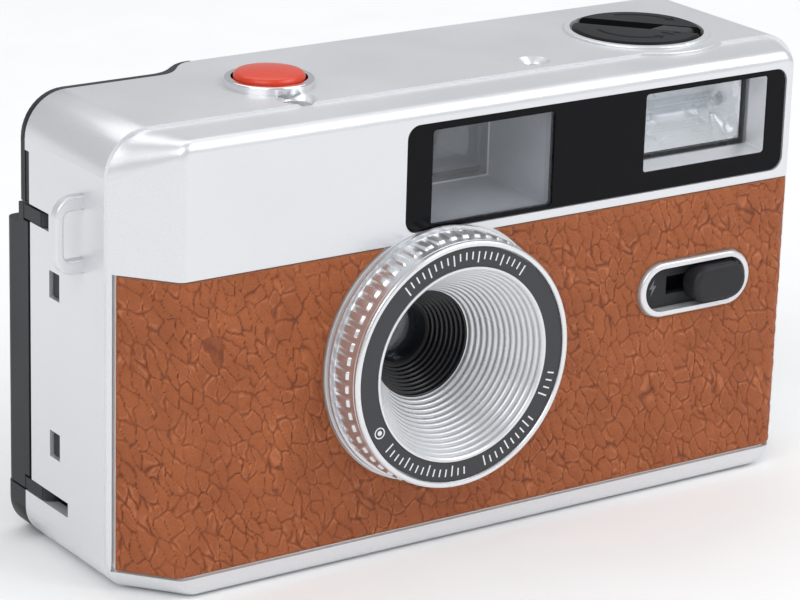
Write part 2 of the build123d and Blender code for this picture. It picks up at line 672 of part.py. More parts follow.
with BuildPart() as door_latch:
    block((56.1, 57.2), (20.8, 27.2), (19.5, 32.2))
    fillet(door_latch.faces().sort_by(Axis.X)[-1].edges(), 0.5)
    for z in (22.0, 23.9, 25.8, 27.7, 29.6):
        block((57.1, 57.5), (21.6, 26.4), (z - 0.35, z + 0.35))
    block((53.9, 56.2), (22.5, 25.5), (22.0, 27.6))
    block((52.7, 53.95), (21.6, 26.4), (19.6, 29.0))
save(door_latch, "door_latch")

# ---- film transport ----
with BuildPart() as thumb_wheel:
    extrude(gear_outline(level(49.6).shift_origin((spool_x, spool_depth - body_mid, 49.6)),
                         60, 0.39, 0), amount=3.8)
    post(spool_x, spool_depth, (49.0, 54.2), 1.6)
save(thumb_wheel, "thumb_wheel")

gear_phase = math.degrees(math.atan2(sprocket_depth - spool_depth, sprocket_x - spool_x))
with BuildPart() as wind_gear:
    extrude(gear_outline(level(47.5).shift_origin((spool_x, spool_depth - body_mid, 47.5)),
                         wind_teeth, gear_module, gear_phase), amount=1.4)
    post(spool_x, spool_depth, (45, 50), 1.6, Mode.SUBTRACT)
save(wind_gear, "wind_gear")

with BuildPart() as take_up_spool:
    post(spool_x, spool_depth, (9.0, 45.4), 5.4)
    post(spool_x, spool_depth, (7.6, 9.0), 8.6)
    block((spool_x - 6, spool_x + 6), (spool_depth - 0.6, spool_depth + 0.6), (24.0, 31.0),
          Mode.SUBTRACT)
    post(spool_x, spool_depth, (3.0, 49.0), 1.6)
save(take_up_spool, "take_up_spool")

with BuildPart() as sprocket:
    post(sprocket_x, sprocket_depth, (40.2, 43.4), 5.3)
    with Locations((sprocket_x, sprocket_depth - body_mid, 41.3)):
        with PolarLocations(5.6, 8):
            Box(1.6, 1.1, 1.3)
    post(sprocket_x, sprocket_depth, (5.6, 49.4), 1.2)
save(sprocket, "sprocket")

pinion_phase = gear_phase + 180 + 180 / sprocket_teeth
with BuildPart() as sprocket_gear:
    extrude(gear_outline(level(47.5).shift_origin((sprocket_x, sprocket_depth - body_mid, 47.5)),
                         sprocket_teeth, gear_module, pinion_phase), amount=1.4)
    post(sprocket_x, sprocket_depth, (45, 50), 1.2, Mode.SUBTRACT)
save(sprocket_gear, "sprocket_gear")

# ---- shutter button and frame counter ----
with BuildPart() as button_collar:
    post(button_x, button_depth, (plateau_top, 62.75), 6.0)
    fillet(button_collar.edges().group_by(Axis.Z)[-1], 0.25)
    post(button_x, button_depth, (60.2, plateau_top), button_seat)
    post(button_x, button_depth, (60, 63), 5.1, Mode.SUBTRACT)
save(button_collar, "button_collar")

with BuildPart() as shutter_button:
    post(button_x, button_depth, (60.6, 63.9), 4.8)
    fillet(shutter_button.edges().group_by(Axis.Z)[-1], 0.9)
    post(button_x, button_depth, (55.4, 60.7), 1.5)
save(shutter_button, "shutter_button")

button_spring_base = 56.9
with BuildPart() as button_spring:
    add(coil(level(button_spring_base + 0.2).shift_origin(
        (button_x, button_depth - body_mid, button_spring_base + 0.2)), 2.3, 0.35, 4, 3.2))
save(button_spring, "button_spring")

with BuildPart() as top_bracket:
    block((-40.0, -19.0), (5.0, 24.0), (55.9, 56.8))
    for x in (-39.0, -20.2):
        post(x, 6.0, (56.8, front_top - wall - 0.05), 0.9)
        post(x, 23.0, (56.8, plateau_top - wall), 1.0)
    post(button_x, button_depth, (55, 58), 1.6, Mode.SUBTRACT)
    post(dial_x, dial_depth, (55, 58), 0.86, Mode.SUBTRACT)
save(top_bracket, "top_bracket")

with BuildPart() as counter_dial:
    post(dial_x, dial_depth, (58.2, 58.9), 7.2)
    post(dial_x, dial_depth, (56.95, 58.2), 2.0)
    post(dial_x, dial_depth, (54.6, 57.0), 0.8)
save(counter_dial, "counter_dial")

with BuildPart() as counter_window:
    post(counter_x, counter_depth, (60.0, 60.8), counter_pane)
save(counter_window, "counter_window")

with BuildPart() as ready_lamp:
    post(lamp_x, lamp_depth, (57.0, 60.8), lamp_radius)
    fillet(ready_lamp.edges().group_by(Axis.Z)[-1], 0.7)
save(ready_lamp, "ready_lamp")

# ---- rewind knob, crank and fork ----
groove_angle = -48.0
groove_shift = 1.0
knob_plane = Plane(origin=(cassette_x, cassette_depth - body_mid, knob_top),
                   x_dir=(math.cos(math.radians(groove_angle)),
                          math.sin(math.radians(groove_angle)), 0), z_dir=(0, 0, 1))
crank_hinge = 7.2
pin_height = 0.7
crank_pin_place = knob_plane.offset(-pin_height).location * Location((crank_hinge, groove_shift, 0))
with BuildPart() as rewind_knob:
    with BuildSketch(knob_plane):
        Circle(knob_radius)
    extrude(amount=-2.3)
    chamfer(rewind_knob.edges().group_by(Axis.Z)[-1], 0.35)
    with BuildSketch(knob_plane):
        with Locations((0, groove_shift)):
            Rectangle(2 * knob_radius + 1, 3.4)
    extrude(amount=-1.5, mode=Mode.SUBTRACT)
    # hole for the crank's pin, across the groove
    with Locations(crank_pin_place):
        Cylinder(0.5, 5.4, rotation=(90, 0, 0), mode=Mode.SUBTRACT)
    post(cassette_x, cassette_depth, (49.4, 60.2), 3.04)
save(rewind_knob, "rewind_knob")

with BuildPart() as crank_pin:
    with Locations(crank_pin_place):
        Cylinder(0.5, 5.4, rotation=(90, 0, 0))
save(crank_pin, "crank_pin")

with BuildPart() as rewind_crank:
    with BuildSketch(knob_plane.offset(-0.05)):
        with BuildLine():
            Polyline((2.0, groove_shift - 1.4), (crank_hinge, groove_shift - 1.4),
                     (crank_hinge, groove_shift + 1.4), (3.4, groove_shift + 1.4), close=True)
        make_face()
    extrude(amount=-1.25)
    with Locations(crank_pin_place):
        Cylinder(0.62, 2.8, rotation=(90, 0, 0))
    with Locations(crank_pin_place):
        Cylinder(0.57, 6, rotation=(90, 0, 0), mode=Mode.SUBTRACT)
save(rewind_crank, "rewind_crank")

with BuildPart() as rewind_fork:
    post(cassette_x, cassette_depth, (44.0, 49.4), 3.3)
    block((cassette_x - 1.3, cassette_x + 1.3), (cassette_depth - 4, cassette_depth + 4),
          (43, 47.2), Mode.SUBTRACT)
save(rewind_fork, "rewind_fork")

# ---- flash switch ----
with BuildPart() as switch_bezel:
    extrude(stadium(-0.45, switch_x, switch_z, 19.3, 7.8), amount=-(skin + 0.45))
    fillet(switch_bezel.faces().sort_by(Axis.Y)[0].edges(), 0.35)
    extrude(stadium(-1, switch_x, switch_z, 17.5, 6.2), amount=-3, mode=Mode.SUBTRACT)
save(switch_bezel, "switch_bezel")

with BuildPart() as switch_tray:
    extrude(stadium(1.2, switch_x, switch_z, 17.4, 6.1), amount=-0.6)
    extrude(stadium(1.8, switch_x, switch_z, 20.0, 8.6), amount=-0.6)
    block((29.5, 38.5), (1, 3), (switch_z - 1.3, switch_z + 1.3), Mode.SUBTRACT)
save(switch_tray, "switch_tray")

with BuildPart() as switch_knob:
    extrude(stadium(-1.8, switch_knob_x, switch_z, 9.2, 5.3), amount=-2.85)
    fillet(switch_knob.faces().sort_by(Axis.Y)[0].edges(), 0.8)
    block((switch_knob_x - 1.2, switch_knob_x + 1.2), (1.0, 2.7),
          (switch_z - 1.0, switch_z + 1.0))
    block((switch_knob_x - 2.6, switch_knob_x + 2.6), (2.6, 3.4),
          (switch_z - 2.0, switch_z + 2.0))
save(switch_knob, "switch_knob")

# ---- strap lug ----
lug_low, lug_high, lug_reach = 41.9, 52.3, 4.1
with BuildPart() as strap_lug:
    extrude(window(12.8, -half_width - lug_reach, -half_width + 3, lug_low, lug_high, 2.8),
            amount=-1.6)
    extrude(window(12, -half_width - lug_reach + 1.25, -half_width + 3, lug_low + 1.95,
                   lug_high - 1.95, 1.0), amount=-4, mode=Mode.SUBTRACT)
    block((-half_width, -40), (10, 18), (30, 60), Mode.SUBTRACT)
    fillet(strap_lug.edges().filter_by(GeomType.CIRCLE), 0.35)
    for z in eyelet_ends:
        bar(eyelet_depth, z, (-half_width - 0.5, -half_width + wall), 0.6)
save(strap_lug, "strap_lug")

# ---- battery door, its pin and the contacts ----
with BuildPart() as battery_door:
    block((-26.0, 17.0), (3.2, 12.4), (0.15, 1.75))
    bar(battery_pin_depth, battery_pin_z, (-26.0, 17.0), 0.8)
    bar(battery_pin_depth, battery_pin_z, (-27, 18), 0.57, Mode.SUBTRACT)
    for x in (-6.5, -4.5, -2.5):
        block((x - 0.4, x + 0.4), (4.6, 9.0), (0.1, 0.5), Mode.SUBTRACT)
save(battery_door, "battery_door")

with BuildPart() as battery_pin:
    bar(battery_pin_depth, battery_pin_z, (-27.4, 18.4), 0.5)
save(battery_pin, "battery_pin")

with BuildPart() as battery_contacts:
    for x in (battery_left, battery_right - 0.4):
        block((x, x + 0.4), (4.5, 11.7), (3.6, 12.0))
    for x, reach in ((battery_left + 0.4, 1.6), (battery_right - 0.8, 0.4)):
        bar(8.1, 7.6, (x, x + reach), 2.2)
save(battery_contacts, "battery_contacts")

# ---- rewind release, screws ----
with BuildPart() as rewind_release:
    post(sprocket_x, sprocket_depth, (0.3, 2.4), 2.1)
    fillet(rewind_release.edges().group_by(Axis.Z)[0], 0.4)
    post(sprocket_x, sprocket_depth, (2.4, 3.7), 1.1)
save(rewind_release, "rewind_release")

with BuildPart() as case_screws:
    for x, depth in screw_spots:
        post(x, depth, (0.2, 1.0), 1.8)
        post(x, depth, (1.0, 7.8), screw_core)
        for turn in (0, 90):
            with Locations(Location((x, depth - body_mid, 0.4), (0, 0, turn))):
                Box(2.2, 0.45, 0.6, mode=Mode.SUBTRACT)
save(case_screws, "case_screws")
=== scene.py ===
import json
import math
import bpy
import bmesh
import numpy as np
from mathutils import Matrix, Vector
from mathutils.geometry import delaunay_2d_cdt


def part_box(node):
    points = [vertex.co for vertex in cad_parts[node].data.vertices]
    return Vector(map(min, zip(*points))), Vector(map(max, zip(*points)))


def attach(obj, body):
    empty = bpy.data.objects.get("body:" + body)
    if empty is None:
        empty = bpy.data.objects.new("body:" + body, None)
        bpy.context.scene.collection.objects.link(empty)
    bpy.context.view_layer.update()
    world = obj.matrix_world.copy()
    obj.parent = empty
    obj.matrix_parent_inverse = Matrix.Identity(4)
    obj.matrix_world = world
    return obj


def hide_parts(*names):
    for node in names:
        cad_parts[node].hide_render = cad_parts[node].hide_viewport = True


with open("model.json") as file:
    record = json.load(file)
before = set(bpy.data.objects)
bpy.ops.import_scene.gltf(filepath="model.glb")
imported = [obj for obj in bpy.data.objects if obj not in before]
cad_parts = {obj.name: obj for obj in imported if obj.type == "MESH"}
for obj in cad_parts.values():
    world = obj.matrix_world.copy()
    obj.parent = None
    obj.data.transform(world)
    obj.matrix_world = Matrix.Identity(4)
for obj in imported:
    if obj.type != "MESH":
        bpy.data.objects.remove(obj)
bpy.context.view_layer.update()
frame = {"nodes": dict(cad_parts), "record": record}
MM = 0.001

# ---- places read from the frame (metres, X along the body, -Y the lens, Z up) ----
front_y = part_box("leather_panel")[0].y
lens_low, lens_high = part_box("name_ring")
lens_x = (lens_low.x + lens_high.x) / 2
lens_z = (lens_low.z + lens_high.z) / 2
knob_low, knob_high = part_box("rewind_knob")
knob_x = (knob_low.x + knob_high.x) / 2
knob_y = (knob_low.y + knob_high.y) / 2


# ---- node helpers ----
def new_material(name):
    """Empty node material with one Principled shader."""
    material = bpy.data.materials.new(name)
    material.use_nodes = True
    tree = material.node_tree
    tree.nodes.clear()
    out = tree.nodes.new("ShaderNodeOutputMaterial")
    shader = tree.nodes.new("ShaderNodeBsdfPrincipled")
    tree.links.new(shader.outputs[0], out.inputs[0])
    return material, tree, shader


def place_of(tree, stretch=(1, 1, 1)):
    """Object coordinates, stretched along each axis."""
    coords = tree.nodes.new("ShaderNodeTexCoord")
    mapping = tree.nodes.new("ShaderNodeMapping")
    mapping.inputs["Scale"].default_value = stretch
    tree.links.new(coords.outputs["Object"], mapping.inputs["Vector"])
    return mapping.outputs[0]


def noise(tree, vector, size, detail=3.0, rough=0.5):
    """Noise whose features are about size metres across."""
    node = tree.nodes.new("ShaderNodeTexNoise")
    node.inputs["Scale"].default_value = 1 / size
    node.inputs["Detail"].default_value = detail
    node.inputs["Roughness"].default_value = rough
    tree.links.new(vector, node.inputs["Vector"])
    return node.outputs["Fac"]


def spread(tree, value, low, high, start=0.3, end=0.7):
    """The value's middle range mapped to low..high."""
    node = tree.nodes.new("ShaderNodeMapRange")
    node.inputs["From Min"].default_value = start
    node.inputs["From Max"].default_value = end
    node.inputs["To Min"].default_value = low
    node.inputs["To Max"].default_value = high
    tree.links.new(value, node.inputs["Value"])
    return node.outputs[0]


def mix_colour(tree, factor, first, second):
    """Colour between two colours or sockets."""
    node = tree.nodes.new("ShaderNodeMix")
    node.data_type = "RGBA"
    tree.links.new(factor, node.inputs["Factor"])
    for socket, value in ((node.inputs["A"], first), (node.inputs["B"], second)):
        if isinstance(value, tuple):
            socket.default_value = (*value, 1)
        else:
            tree.links.new(value, socket)
    return node.outputs["Result"]


def add_bump(tree, shader, height, distance, strength=1.0):
    """Bump of a given height in metres, on top of any that is there."""
    node = tree.nodes.new("ShaderNodeBump")
    node.inputs["Distance"].default_value = distance
    node.inputs["Strength"].default_value = strength
    tree.links.new(height, node.inputs["Height"])
    if shader.inputs["Normal"].is_linked:
        tree.links.new(shader.inputs["Normal"].links[0].from_socket, node.inputs["Normal"])
    tree.links.new(node.outputs[0], shader.inputs["Normal"])


def surface(name, colour, roughness, metallic=0.0, grain=0.0004, shade=0.06, bump=0.00001,
            rough_shift=0.06, coat=0.0, coat_rough=0.1, stretch=(1, 1, 1), specular=0.5):
    """Moulded, painted or metal surface: fine grain in colour, roughness and height."""
    material, tree, shader = new_material(name)
    vector = place_of(tree, stretch)
    fine = noise(tree, vector, grain, 2)
    broad = noise(tree, vector, 0.02, 3)
    darker = tuple(c * (1 - shade) for c in colour)
    lighter = tuple(min(1, c * (1 + shade)) for c in colour)
    tone = mix_colour(tree, spread(tree, fine, 0, 1), darker, lighter)
    worn = mix_colour(tree, spread(tree, broad, 0, 0.5), tone, colour)
    tree.links.new(worn, shader.inputs["Base Color"])
    tree.links.new(spread(tree, broad, roughness - rough_shift, roughness + rough_shift),
                   shader.inputs["Roughness"])
    shader.inputs["Metallic"].default_value = metallic
    shader.inputs["Specular IOR Level"].default_value = specular
    shader.inputs["Coat Weight"].default_value = coat
    shader.inputs["Coat Roughness"].default_value = coat_rough
    if bump:
        add_bump(tree, shader, fine, bump)
    return material


STRAIGHT_ON_SHINE, EDGE_POWER = 0.04, 5.0


def clear_surface(name, tint, shine=0.0, roughness=0.03):
    """Clear plastic or glass: see-through, with a gloss that grows at grazing angles."""
    material, tree, shader = new_material(name)
    vector = place_of(tree)
    out = next(n for n in tree.nodes if n.type == "OUTPUT_MATERIAL")
    clear = tree.nodes.new("ShaderNodeBsdfTransparent")
    mixed = tree.nodes.new("ShaderNodeMixShader")
    facing = tree.nodes.new("ShaderNodeLayerWeight")
    facing.inputs["Blend"].default_value = 0.5
    edge = tree.nodes.new("ShaderNodeMath")
    edge.operation = "POWER"
    edge.inputs[1].default_value = EDGE_POWER
    tree.links.new(facing.outputs["Facing"], edge.inputs[0])
    patch = noise(tree, vector, 0.004, 2)
    tone = mix_colour(tree, spread(tree, patch, 0, 1), tint, tuple(c * 0.97 for c in tint))
    tree.links.new(tone, clear.inputs["Color"])
    tree.links.new(tone, shader.inputs["Base Color"])
    shader.inputs["Metallic"].default_value = 1.0
    tree.links.new(spread(tree, patch, roughness, roughness * 1.5), shader.inputs["Roughness"])
    boost = tree.nodes.new("ShaderNodeMath")
    boost.operation = "ADD"
    boost.use_clamp = True
    boost.inputs[1].default_value = STRAIGHT_ON_SHINE + shine
    tree.links.new(edge.outputs[0], boost.inputs[0])
    tree.links.new(boost.outputs[0], mixed.inputs["Fac"])
    tree.links.new(clear.outputs[0], mixed.inputs[1])
    tree.links.new(shader.outputs[0], mixed.inputs[2])
    tree.links.new(mixed.outputs[0], out.inputs[0])
    return material


# ---- materials ----
def leather_material():
    """Tan leatherette: painted shade darkens the creases and a painted highlight lightens their lips,
    cut edges paler, with pores and wrinkles between.
    """
    material, tree, shader = new_material("tan_leatherette")
    vector = place_of(tree)

    def painted(name):
        """A value painted on the mesh's points."""
        node = tree.nodes.new("ShaderNodeAttribute")
        node.attribute_name = name
        return node.outputs["Fac"]

    patches = noise(tree, vector, 0.008, 4, 0.6)
    mottle = noise(tree, vector, 0.0008, 3, 0.6)
    tan = mix_colour(tree, spread(tree, patches, 0, 1), (0.280, 0.067, 0.015), (0.400, 0.110, 0.030))
    tan = mix_colour(tree, spread(tree, mottle, 0, 0.55), tan, (0.330, 0.083, 0.020))
    # painted shade darkens the creases; painted highlight lightens their raised lips
    tan = mix_colour(tree, spread(tree, painted("crease_shade"), 0, 0.85, 0.15, 0.9), tan,
                     (0.130, 0.026, 0.006))
    tan = mix_colour(tree, spread(tree, painted("ridge_and_highlight"), 0, 0.75, 0.25, 1.0), tan,
                     (0.56, 0.190, 0.080))
    tan = mix_colour(tree, spread(tree, painted("cut_edge"), 0, 0.75, 0.3, 1.0), tan,
                     (0.52, 0.240, 0.120))
    tree.links.new(tan, shader.inputs["Base Color"])
    tree.links.new(spread(tree, mottle, 0.44, 0.58), shader.inputs["Roughness"])
    shader.inputs["Specular IOR Level"].default_value = 0.4
    wrinkle = tree.nodes.new("ShaderNodeTexVoronoi")
    wrinkle.feature = "DISTANCE_TO_EDGE"
    wrinkle.inputs["Scale"].default_value = 1 / 0.0006
    warp = tree.nodes.new("ShaderNodeTexNoise")
    warp.inputs["Scale"].default_value = 1 / 0.0012
    tree.links.new(vector, warp.inputs["Vector"])
    bent = tree.nodes.new("ShaderNodeMix")
    bent.data_type = "VECTOR"
    bent.inputs["Factor"].default_value = 0.0006
    tree.links.new(vector, bent.inputs["A"])
    tree.links.new(warp.outputs["Color"], bent.inputs["B"])
    tree.links.new(bent.outputs["Result"], wrinkle.inputs["Vector"])
    add_bump(tree, shader, spread(tree, wrinkle.outputs["Distance"], 0, 1, 0, 0.12), 0.00005, 0.8)
    add_bump(tree, shader, noise(tree, vector, 0.00022, 2), 0.00006, 0.8)
    return material


def painted_shell(name, colour, inside_shade):
    """Silver moulding whose inside, behind the wall, is painted near-black: bare plastic darkened to
    the shade seen through its windows.
    """
    half_width, wall = 56.0 * MM, 1.9 * MM
    front_limit, end_limit = front_y + 10.0 * MM, half_width - wall
    top_limit, base_limit = 55.0 * MM, 6.0 * MM
    material = surface(name, colour, 0.34, PAINT_METAL, 0.00016, 0.05, 0.000004)
    tree = material.node_tree
    shader = next(n for n in tree.nodes if n.type == "BSDF_PRINCIPLED")
    paint = shader.inputs["Base Color"].links[0].from_socket
    coords = tree.nodes.new("ShaderNodeTexCoord")
    parts = tree.nodes.new("ShaderNodeSeparateXYZ")
    tree.links.new(coords.outputs["Object"], parts.inputs[0])
    across = tree.nodes.new("ShaderNodeMath")
    across.operation = "ABSOLUTE"
    tree.links.new(parts.outputs["X"], across.inputs[0])
    inside = None
    for value, limit, way in ((parts.outputs["Y"], front_limit, "GREATER_THAN"),
                              (across.outputs[0], end_limit, "LESS_THAN"),
                              (parts.outputs["Z"], top_limit, "LESS_THAN"),
                              (parts.outputs["Z"], base_limit, "GREATER_THAN")):
        test = tree.nodes.new("ShaderNodeMath")
        test.operation = way
        test.inputs[1].default_value = limit
        tree.links.new(value, test.inputs[0])
        if inside is None:
            inside = test.outputs[0]
            continue
        both = tree.nodes.new("ShaderNodeMath")
        both.operation = "MULTIPLY"
        tree.links.new(inside, both.inputs[0])
        tree.links.new(test.outputs[0], both.inputs[1])
        inside = both.outputs[0]
    # painted shade: the inside is coloured near-black and given no metal
    tree.links.new(mix_colour(tree, inside, paint, inside_shade), shader.inputs["Base Color"])
    metal = spread(tree, inside, PAINT_METAL, 0, 0, 1)
    tree.links.new(metal, shader.inputs["Metallic"])
    return material


SILVER = (0.735, 0.745, 0.765)
PAINT_METAL = 0.55
materials = {
    "silver_paint": surface("silver_paint", SILVER, 0.34, 0.55, 0.00016, 0.05, 0.000004),
    "silver_satin": surface("silver_satin", SILVER, 0.38, 0.5, 0.0002, 0.05, 0.000006),
    "leatherette": leather_material(),
    "gloss_black": surface("gloss_black", (0.004, 0.004, 0.005), 0.10, 0, 0.002, 0.1, 0, 0.03,
                           specular=0.10),
    "clear_plastic": clear_surface("clear_plastic", (0.96, 0.97, 0.98), 0.0, 0.03),
    "optical_glass": clear_surface("optical_glass", (0.92, 0.95, 0.98), 0.03, 0.02),
    "grey_plastic": surface("grey_plastic", (0.30, 0.31, 0.34), 0.45, 0, 0.0004, 0.04, 0.000006),
    "chrome_film": surface("chrome_film", (0.97, 0.97, 0.97), 0.24, 0.40, 0.0008, 0.03, 0.00001,
                           0.03),
    "flash_glass": clear_surface("flash_glass", (0.90, 0.91, 0.93), 0.10, 0.02),
    "capacitor_can": surface("capacitor_can", (0.03, 0.035, 0.05), 0.3, 0.2, 0.0006, 0.1),
    "board_green": surface("board_green", (0.02, 0.10, 0.04), 0.35, 0, 0.0007, 0.25, 0.00001),
    "black_plastic": surface("black_plastic", (0.020, 0.0205, 0.023), 0.46, 0, 0.00018, 0.22,
                             0.000012, specular=0.28),
    "white_plastic": surface("white_plastic", (0.78, 0.78, 0.75), 0.45, 0, 0.0006, 0.03),
    "dark_steel": surface("dark_steel", (0.035, 0.035, 0.04), 0.42, 0.6, 0.0003, 0.2, 0.000005,
                          stretch=(1, 1, 6)),
    "steel": surface("steel", (0.60, 0.60, 0.62), 0.28, 1, 0.0003, 0.08, 0.000006,
                     stretch=(1, 1, 8)),
    "red_plastic": surface("red_plastic", (0.66, 0.040, 0.008), 0.30, 0, 0.0005, 0.05, 0.000002,
                           0.04, 0.12, 0.25),
}
bright_metal = surface("bright_metal", (0.88, 0.88, 0.89), 0.15, 1, 0.0005, 0.03, 0.000002, 0.04)
satin_metal = surface("satin_metal", (0.76, 0.77, 0.79), 0.27, 0.80, 0.0003, 0.04, 0.000003)
cone_metal = surface("cone_metal", (0.72, 0.73, 0.75), 0.30, 0.6, 0.0004, 0.04, 0.000003)
white_ink = surface("white_ink", (0.80, 0.80, 0.80), 0.5, 0, 0.0003, 0.04)
# black print on the counter dial, and painted shade for the knob's arrow grooves
ink_and_groove_shade = surface("ink_and_groove_shade", (0.006, 0.006, 0.007), 0.6, 0, 0.0003, 0.1, specular=0.1)
ring_black = surface("ring_black", (0.030, 0.031, 0.036), 0.36, 0, 0.0003, 0.1, 0.000003)
knob_black = surface("knob_black", (0.010, 0.010, 0.011), 0.42, 0, 0.00022, 0.2, 0.000008,
                     specular=0.12)
grey_ink = surface("grey_ink", (0.16, 0.16, 0.17), 0.5, 0, 0.0003, 0.06)
cone_black = surface("cone_black", (0.010, 0.010, 0.012), 0.30, 0, 0.0004, 0.1, 0.000003)
wall_grey = surface("wall_grey", (0.40, 0.41, 0.44), 0.36, 0, 0.0006, 0.03, 0.000004)
# pale colour for the painted highlight on the finder lens edge
edge_highlight = surface("edge_highlight", (0.75, 0.77, 0.80), 0.3, 0.2, 0.0006, 0.03)

# near-black painted shade for the shell's inside
INSIDE_SHADE = (0.03, 0.03, 0.034)
special = {"cone_baffle": cone_metal, "button_collar": bright_metal, "rewind_knob": knob_black,
           "finder_housing": wall_grey, "name_ring": ring_black,
           "flash_frame": materials["silver_satin"],
           "body_shell": painted_shell("shell_paint_and_inside_shade", SILVER, INSIDE_SHADE)}
for row in frame["record"]["subparts"]:
    cad = frame["nodes"][row["node"]]
    cad.data.materials.clear()
    cad.data.materials.append(special.get(row["node"], materials[row["material_slot"]]))


# ---- mesh helpers ----
def make_piece(name, vertices, faces, material, smooth=30, outward=False):
    """Mesh object with one material, shaded smooth below an angle."""
    mesh = bpy.data.meshes.new(name)
    mesh.from_pydata([tuple(v) for v in vertices], [], [tuple(f) for f in faces])
    mesh.validate()
    if outward:
        shape = bmesh.new()
        shape.from_mesh(mesh)
        bmesh.ops.recalc_face_normals(shape, faces=shape.faces)
        shape.to_mesh(mesh)
        shape.free()
    mesh.materials.append(material)
    if smooth:
        mesh.shade_smooth()
        mesh.set_sharp_from_angle(angle=math.radians(smooth))
    piece = bpy.data.objects.new(name, mesh)
    bpy.context.scene.collection.objects.link(piece)
    return piece


def finish_piece(piece, body, slot, *nodes):
    """Ride and stand-in of a finished piece in one place; the slot is not used."""
    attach(piece, body)
    if nodes:
        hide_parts(*nodes)


def soften(node, width, angle=28, segments=2):
    """Small rounds on a CAD node's sharp edges, by modifiers."""
    cad = frame["nodes"][node]
    weld = cad.modifiers.new("weld", "WELD")
    weld.merge_threshold = 0.000002
    bevel = cad.modifiers.new("round", "BEVEL")
    bevel.width = width
    bevel.segments = segments
    bevel.limit_method = "ANGLE"
    bevel.angle_limit = math.radians(angle)
    bevel.use_clamp_overlap = True
    bevel.harden_normals = True


# ---- leatherette skin ----
def cell_grain(s, z, size, seed, jitter=0.85, tall=1.25):
    """Distance between the nearest and the next cell centre, in cell sizes."""
    random = np.random.default_rng(seed)
    table = random.random((64, 64, 2))
    u, v = s / size, z / (size * tall)
    cell_u, cell_v = np.floor(u).astype(int), np.floor(v).astype(int)
    first = np.full(u.shape, 9.0)
    second = np.full(u.shape, 9.0)
    for step_u in range(-2, 3):
        for step_v in range(-2, 3):
            i, j = (cell_u + step_u), (cell_v + step_v)
            shift = table[i % 64, j % 64]
            distance = np.hypot(i + 0.5 + jitter * (shift[..., 0] - 0.5) - u,
                                j + 0.5 + jitter * (shift[..., 1] - 0.5) - v)
            second = np.where(distance < first, first, np.minimum(second, distance))
            first = np.minimum(first, distance)
    return second - first


def smooth_noise(s, z, size, seed):
    """Soft value noise from -1 to 1."""
    random = np.random.default_rng(seed)
    table = random.random((64, 64)) * 2 - 1
    u, v = s / size, z / size
    i, j = np.floor(u).astype(int), np.floor(v).astype(int)
    a, b = u - i, v - j
    a, b = a * a * (3 - 2 * a), b * b * (3 - 2 * b)
    low = table[i % 64, j % 64] * (1 - a) + table[(i + 1) % 64, j % 64] * a
    high = table[i % 64, (j + 1) % 64] * (1 - a) + table[(i + 1) % 64, (j + 1) % 64] * a
    return low * (1 - b) + high * b


def ease(x):
    """Smooth step from 0 to 1."""
    x = np.clip(x, 0, 1)
    return x * x * (3 - 2 * x)


